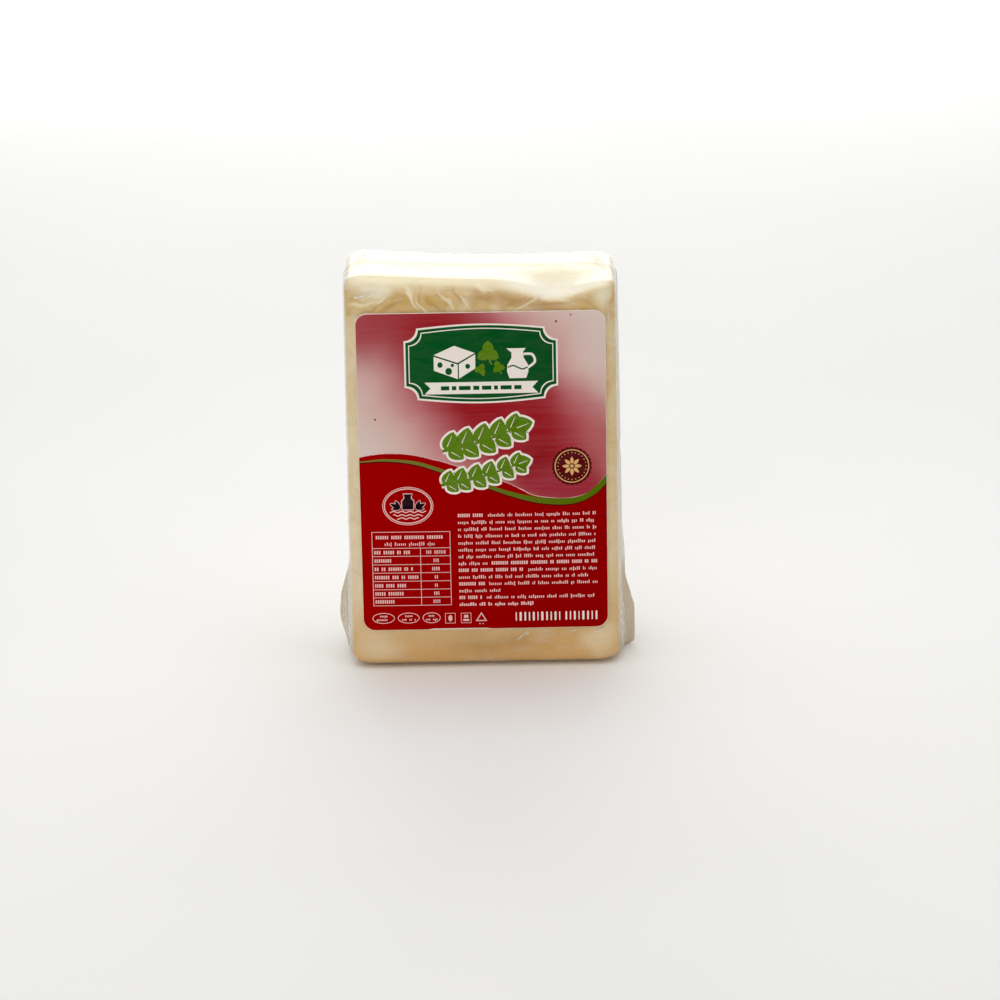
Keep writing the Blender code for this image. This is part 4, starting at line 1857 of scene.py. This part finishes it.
@dataclass
class RoundSeal:
    """A scalloped dark seal with a gold ring and a plain flower."""

    label: Label
    middle: Point = (32.3, 61.9)
    radius: float = 7.3
    ring: float = 6.3
    ring_width: float = 0.36

    def build(self) -> None:
        """Builds the seal's field, ring and flower."""
        label, middle = self.label, self.middle
        gold, edge = label.sheet(), scalloped(middle, self.radius, 0.42, 26)
        label.plate("seal_field", edge, Layer.EDGING, Ink.MAROON.value.material())
        outer, inner = (oval(middle, size, size, 60) for size in (self.ring, self.ring - self.ring_width))
        gold.add_band(outer, inner, Layer.MOTIF)
        for turn in range(8):
            angle = math.radians(45 * turn)
            base = (middle[0] + 0.9 * math.cos(angle), middle[1] + 0.9 * math.sin(angle))
            gold.add(leaf(base, 45 * turn, 2.7, 1.25, 0.0), Layer.MOTIF)
        gold.add(oval(middle, 0.62, 0.62, 16), Layer.MOTIF)
        for turn in range(24):
            angle = math.radians(15 * turn)
            dot = (middle[0] + 5.1 * math.cos(angle), middle[1] + 5.1 * math.sin(angle))
            gold.add(oval(dot, 0.2, 0.2, 8), Layer.MOTIF)
        label.ink("seal_gold", gold, Ink.GOLD)


@dataclass
class Emblem:
    """An oval with a double pale line round a milk churn and two waves."""

    label: Label
    middle: Point = (-27.6, 47.8)
    half_width: float = 9.3
    half_height: float = 7.3

    def build(self) -> None:
        """Builds the oval's lines and what they hold."""
        label, (u, v) = self.label, self.middle
        pale, dark = label.sheets(2)
        for inset, thick in ((0.0, 0.26), (0.55, 0.42)):
            outer = oval(self.middle, self.half_width - inset, self.half_height - inset, 64)
            inner = oval(self.middle, self.half_width - inset - thick, self.half_height - inset - thick, 64)
            pale.add_band(outer, inner, Layer.STRIPE)
        churn = [(-2.0, -1.6), (2.0, -1.6), (2.1, 1.6), (1.2, 2.6), (1.2, 3.4)]
        churn += [(1.7, 4.2), (-1.7, 4.2), (-1.2, 3.4), (-1.2, 2.6), (-2.1, 1.6)]
        shape = [(u + a, v + b + 0.3) for a, b in churn]
        pale.add(grown(shape, 0.34), Layer.STRIPE)
        dark.add(shape, Layer.EDGING)
        for side in (-1, 1):
            for turn, long in ((28, 4.0), (62, 3.4), (-4, 3.0)):
                blade = leaf((u + side * 2.9, v - 0.9), 90 - side * (90 - turn), long, long * 0.38, 0.0)
                pale.add(grown(blade, 0.22), Layer.STRIPE)
                dark.add(blade, Layer.EDGING)
        for drop, half in ((-2.2, 6.6), (-3.5, 5.4), (-4.7, 4.0)):
            line = [(u + at, v + drop + 0.28 * math.sin(at * 2.1)) for at in evenly(-half, half, 0.5)]
            pale.add_line(line, 0.40, Layer.STRIPE)
        label.ink("emblem_lines", pale, Ink.PRINT)
        label.ink("emblem_shapes", dark, Ink.DARK)


@dataclass
class GreekedText:
    """Rows of small plain blocks that stand for printed words."""

    letter: float = 0.42
    gap: float = 0.30
    space: float = 0.85
    low: float = 0.86
    tall: float = 1.28
    heavy: float = 0.15
    drop: float = 0.3
    tall_share: float = 0.3
    drop_share: float = 0.1
    draw: random.Random = field(default_factory=lambda: random.Random(23))

    def row(
        self,
        sheet: PrintSheet,
        left: float,
        right: float,
        base: float,
        heavy: bool = False,
        caps: bool = False,
    ) -> None:
        """Fills one row with words.

        Args:
            sheet: The sheet for the blocks.
            left: Where the row begins.
            right: Where it ends.
            base: Its base line.
            heavy: Whether the words are bold.
            caps: Whether every block is tall.
        """
        at = left
        extra = self.heavy if heavy else 0.0
        while at < right - self.letter:
            for _ in range(self.draw.choice(range(2, 10))):
                wide = self.letter * self.draw.uniform(0.72, 1.15) + extra
                if at + wide > right:
                    break
                tall = self.tall if caps or self.draw.random() < self.tall_share else self.low
                drop = self.drop if not caps and self.draw.random() < self.drop_share else 0.0
                sheet.add_box(at, base - drop, at + wide, base + tall, Layer.STRIPE)
                at += wide + self.gap - extra * 0.4
            at += self.space


@dataclass
class FactTable:
    """The ruled table at the lower left, with greeked rows."""

    label: Label
    left: float = -41.0
    right: float = -12.5
    divider: float = -23.4
    rules: tuple[float, ...] = (37.9, 31.7, 28.6, 25.4, 22.2, 19.0, 15.8, 12.7, 9.6)
    names: tuple[float, ...] = (13.4, 7.0, 14.6, 16.2, 11.8, 10.6, 7.2)
    amounts: tuple[float, ...] = (6.6, 1.5, 2.6, 0.8, 0.8, 1.5, 2.2)
    rise: float = 0.85
    line: float = 0.23

    def build(self) -> None:
        """Builds the rules and the rows."""
        lines, words = self.label.sheets(2)
        half = self.line / 2
        for rule in self.rules:
            lines.add_box(self.left - half, rule - half, self.right + half, rule + half, Layer.STRIPE)
        for at in (self.left, self.right):
            lines.add_box(at - half, self.rules[-1], at + half, self.rules[0], Layer.STRIPE)
        lines.add_box(self.divider - half, self.rules[-1], self.divider + half, self.rules[1], Layer.STRIPE)
        text = GreekedText(letter=0.40, gap=0.35, tall=1.32)
        text.row(words, self.left + 1.4, self.right - 1.2, 35.2, heavy=True, caps=True)
        text.row(words, self.left + 4.6, self.right - 4.6, 32.7)
        first, middle = self.left + 0.7, (self.divider + self.right) / 2
        for rule, reach, wide in zip(self.rules[2:], self.names, self.amounts):
            base = rule + self.rise
            text.row(words, first, first + reach, base, heavy=True, caps=True)
            text.row(words, middle - wide / 2, middle + wide / 2 + 0.6, base, caps=True)
        self.label.ink("table_rules", lines, Ink.PRINT)
        self.label.ink("table_words", words, Ink.PRINT)


@dataclass
class SmallPrint:
    """Fourteen greeked rows at the right, and one large row below them."""

    label: Label
    left: float = -9.5
    right: float = 41.2
    top: float = 43.3
    pitch: float = 2.63
    bars: tuple[float, ...] = (0.70, 0.40, 0.80, 0.62, 0.46)

    def build(self) -> None:
        """Builds the rows."""
        words = self.label.sheet()
        text = GreekedText()
        bold, plain = {"heavy": True, "caps": True}, {}
        ends = {9: 38.0, 11: 5.8, 12: self.right - 1.2, 13: 18.6}
        split = {0: (9.6, 11.0, bold, plain), 7: (11.0, 12.0, plain, bold), 8: (24.0, 25.4, bold, plain)}
        split.update({10: (9.6, 11.0, bold, plain), 12: (8.6, 10.0, bold, plain)})
        for index in range(14):
            base = self.top - self.pitch * index
            end = ends.get(index, self.right)
            if index in split:
                stop, start, first, second = split[index]
                text.row(words, self.left, self.left + stop, base, **first)
                text.row(words, self.left + start, end, base, **second)
            else:
                text.row(words, self.left, end, base, heavy=index == 13)
        self.label.ink("small_print", words, Ink.PRINT)
        large = self.label.sheet()
        at = 11.0
        for count in (11, 8):
            for index in range(count):
                wide = self.bars[(index + count) % len(self.bars)]
                large.add(rounded(at, 2.9, at + wide, 6.35, 0.30, 3), Layer.STRIPE)
                at += wide + 1.00
            at += 0.9
        self.label.ink("large_print", large, Ink.PALE)


@dataclass
class FootMarks:
    """The row of small plain marks at the label's foot, and the specks on its upper part."""

    label: Label
    line: float = 0.26

    def ring(self, sheet: PrintSheet, outer: Loop) -> None:
        """Adds a thin line along the inside of an outline."""
        sheet.add_band(outer, grown(outer, -self.line), Layer.STRIPE)

    def build(self) -> None:
        """Builds the ovals, the squares, the triangle and the specks."""
        sheet = self.label.sheet()
        text = GreekedText(letter=0.40, gap=0.2, low=0.6, tall=0.7)
        for u, half in ((-37.5, 4.1), (-28.3, 4.0), (-19.9, 3.3)):
            self.ring(sheet, oval((u, 4.7), half, 2.1, 36))
            text.row(sheet, u - half * 0.32, u + half * 0.36, 5.1)
            text.row(sheet, u - half * 0.62, u + half * 0.66, 3.7)
        for u in (-13.0, -7.2):
            self.ring(sheet, [(u - 1.9, 2.4), (u + 1.9, 2.4), (u + 1.9, 6.4), (u - 1.9, 6.4)])
        sheet.add(oval((-13.0, 4.4), 0.75, 1.2, 16), Layer.STRIPE)
        sheet.add_box(-8.3, 3.2, -6.1, 4.0, Layer.STRIPE)
        sheet.add_box(-8.0, 4.5, -6.4, 5.6, Layer.STRIPE)
        outer, inner = [(-3.7, 3.1), (0.5, 3.1), (-1.6, 6.6)], [(-3.0, 3.5), (-0.2, 3.5), (-1.6, 5.85)]
        sheet.add_band(outer, inner, Layer.STRIPE)
        for u in (-2.2, -1.0):
            sheet.add_box(u - 0.22, 1.9, u + 0.22, 2.3, Layer.STRIPE)
        self.label.ink("foot_marks", sheet, Ink.PRINT)
        specks = self.label.sheet()
        for middle, size in (((32.5, 118.4), 0.34), ((27.2, 116.1), 0.42), ((-38.7, 80.6), 0.40)):
            specks.add(oval(middle, size * 0.8, size, 10), Layer.FIELD)
        self.label.ink("print_specks", specks, Ink.SHADE)


# The studio


@dataclass
class Studio:
    """A pale floor, soft light and the photograph's camera."""

    target: Triple = (0.00543, -0.0237, 0.06417)
    distance: float = 1.410
    pitch: float = 17.0
    roll: float = -1.02
    lens: float = 139.43

    def build(self) -> None:
        """Builds the floor, the lights, the world and the camera."""
        bpy.context.scene.view_settings.view_transform = "Standard"
        self.build_floor()
        self.build_world()
        self.add_light("ceiling_light", (0.0, 1.00, 2.50), (0.0, 1.0, 0.0), 6.00, 48.0)
        self.add_light("top_light", (0.0, 0.02, 0.62), (0.0, 0.0, 0.15), 0.45, 0.8)
        self.add_light("back_light", (0.0, 1.80, 0.72), (0.0, 0.0, 0.15), 1.30, 11.5)
        self.add_light("front_light", (-0.40, -1.80, 0.80), (0.0, 0.0, 0.07), 1.20, 8.0)
        self.build_camera()

    def build_floor(self) -> None:
        """A wide, pale, faintly mottled floor."""
        mesh = bpy.data.meshes.new("floor")
        size = 6.0
        corners = [(-size, -size, 0), (size, -size, 0), (size, size, 0), (-size, size, 0)]
        mesh.from_pydata(corners, [], [(0, 1, 2, 3)])
        made, wiring, shader, place = start_finish("floor_paper")
        mask = wiring.group(effects.mottle, {"Vector": place, "Scale": 3.0, "From": 0.3, "To": 0.7})
        wiring.feed(shader, "Base Color", wiring.mix(mask, srgb(254, 254, 253), srgb(251, 251, 249)))
        shader.inputs["Roughness"].default_value = 0.8
        mesh.materials.append(made)
        floor = bpy.data.objects.new("floor", mesh)
        floor.location.z = -0.0002
        bpy.context.scene.collection.objects.link(floor)

    def build_world(self) -> None:
        """A white room: bright to look at, and softer as a light."""
        world = bpy.data.worlds.new("white_room")
        world.use_nodes = True
        bpy.context.scene.world = world
        wiring = Wiring(world.node_tree)
        seen = wiring.add("ShaderNodeLightPath").outputs["Is Camera Ray"]
        strength = wiring.add("ShaderNodeMapRange", {"Value": seen, "To Min": 0.32, "To Max": 1.0}).outputs[0]
        background = world.node_tree.nodes["Background"]
        wiring.feed(background, "Strength", strength)
        background.inputs["Color"].default_value = (1.0, 0.985, 0.96, 1.0)

    def add_light(self, name: str, place: tuple, aim: tuple, size: float, power: float) -> None:
        """Adds a square soft light.

        Args:
            name: Its name.
            place: Where it stands.
            aim: Where it points.
            size: Its side, in metres.
            power: Its power, in watts.
        """
        light = bpy.data.lights.new(name, "AREA")
        light.energy, light.size = power, size
        made = bpy.data.objects.new(name, light)
        made.location = place
        made.rotation_euler = (Vector(aim) - Vector(place)).to_track_quat("-Z", "Y").to_euler()
        made.visible_camera = False
        bpy.context.scene.collection.objects.link(made)

    def build_camera(self) -> None:
        """The camera at the photograph's angle."""
        down, turned = math.radians(self.pitch), math.radians(self.roll)
        forward = Vector((0, math.cos(down), -math.sin(down)))
        right, up = Vector((1, 0, 0)), Vector((0, math.sin(down), math.cos(down)))
        rolled = right * math.cos(turned) + up * math.sin(turned)
        upright = up * math.cos(turned) - right * math.sin(turned)
        lens = bpy.data.cameras.new("camera")
        lens.lens, lens.sensor_width = self.lens, 36.0
        lens.clip_start, lens.clip_end = 0.05, 50.0
        made = bpy.data.objects.new("camera", lens)
        turn = Matrix((rolled, upright, -forward)).transposed()
        made.matrix_world = Matrix.Translation(Vector(self.target) - forward * self.distance) @ turn.to_4x4()
        bpy.context.scene.collection.objects.link(made)
        bpy.context.scene.camera = made


def seeded_creases(seed: int, count: int, wide: float, low: float, high: float) -> tuple[Crease, ...]:
    """Small creases spread over a face that the photograph doesn't show.

    Args:
        seed: The draw's seed.
        count: How many there are.
        wide: Half the face's width.
        low: The lowest place.
        high: The highest place.

    Returns:
        The creases.
    """
    draw = random.Random(seed)
    made = []
    for _ in range(count):
        a, b = draw.uniform(-wide, wide), draw.uniform(low, high)
        turn, length = draw.gauss(0.0, 0.5), draw.uniform(0.006, 0.018)
        end = (a + length * math.cos(turn), b + length * math.sin(turn))
        made.append(Crease((a, b), end, draw.uniform(0.00015, 0.00035), draw.uniform(0.0012, 0.0022)))
    return tuple(made)


def main() -> None:
    """Builds the cheese pack, its label and the studio, in that order."""
    logging.basicConfig(level=logging.INFO, format="%(name)s: %(message)s")
    block = CutBlock(
        side_creases=seeded_creases(3, 9, 0.016, 0.012, 0.138),
        back_creases=seeded_creases(5, 14, 0.042, 0.012, 0.138),
        top_creases=seeded_creases(9, 5, 0.036, -0.016, 0.016),
    )
    CheesePack(block).build()
    Label(LabelFace(block)).build()
    Studio().build()
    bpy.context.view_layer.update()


if __name__ == "__main__":
    main()
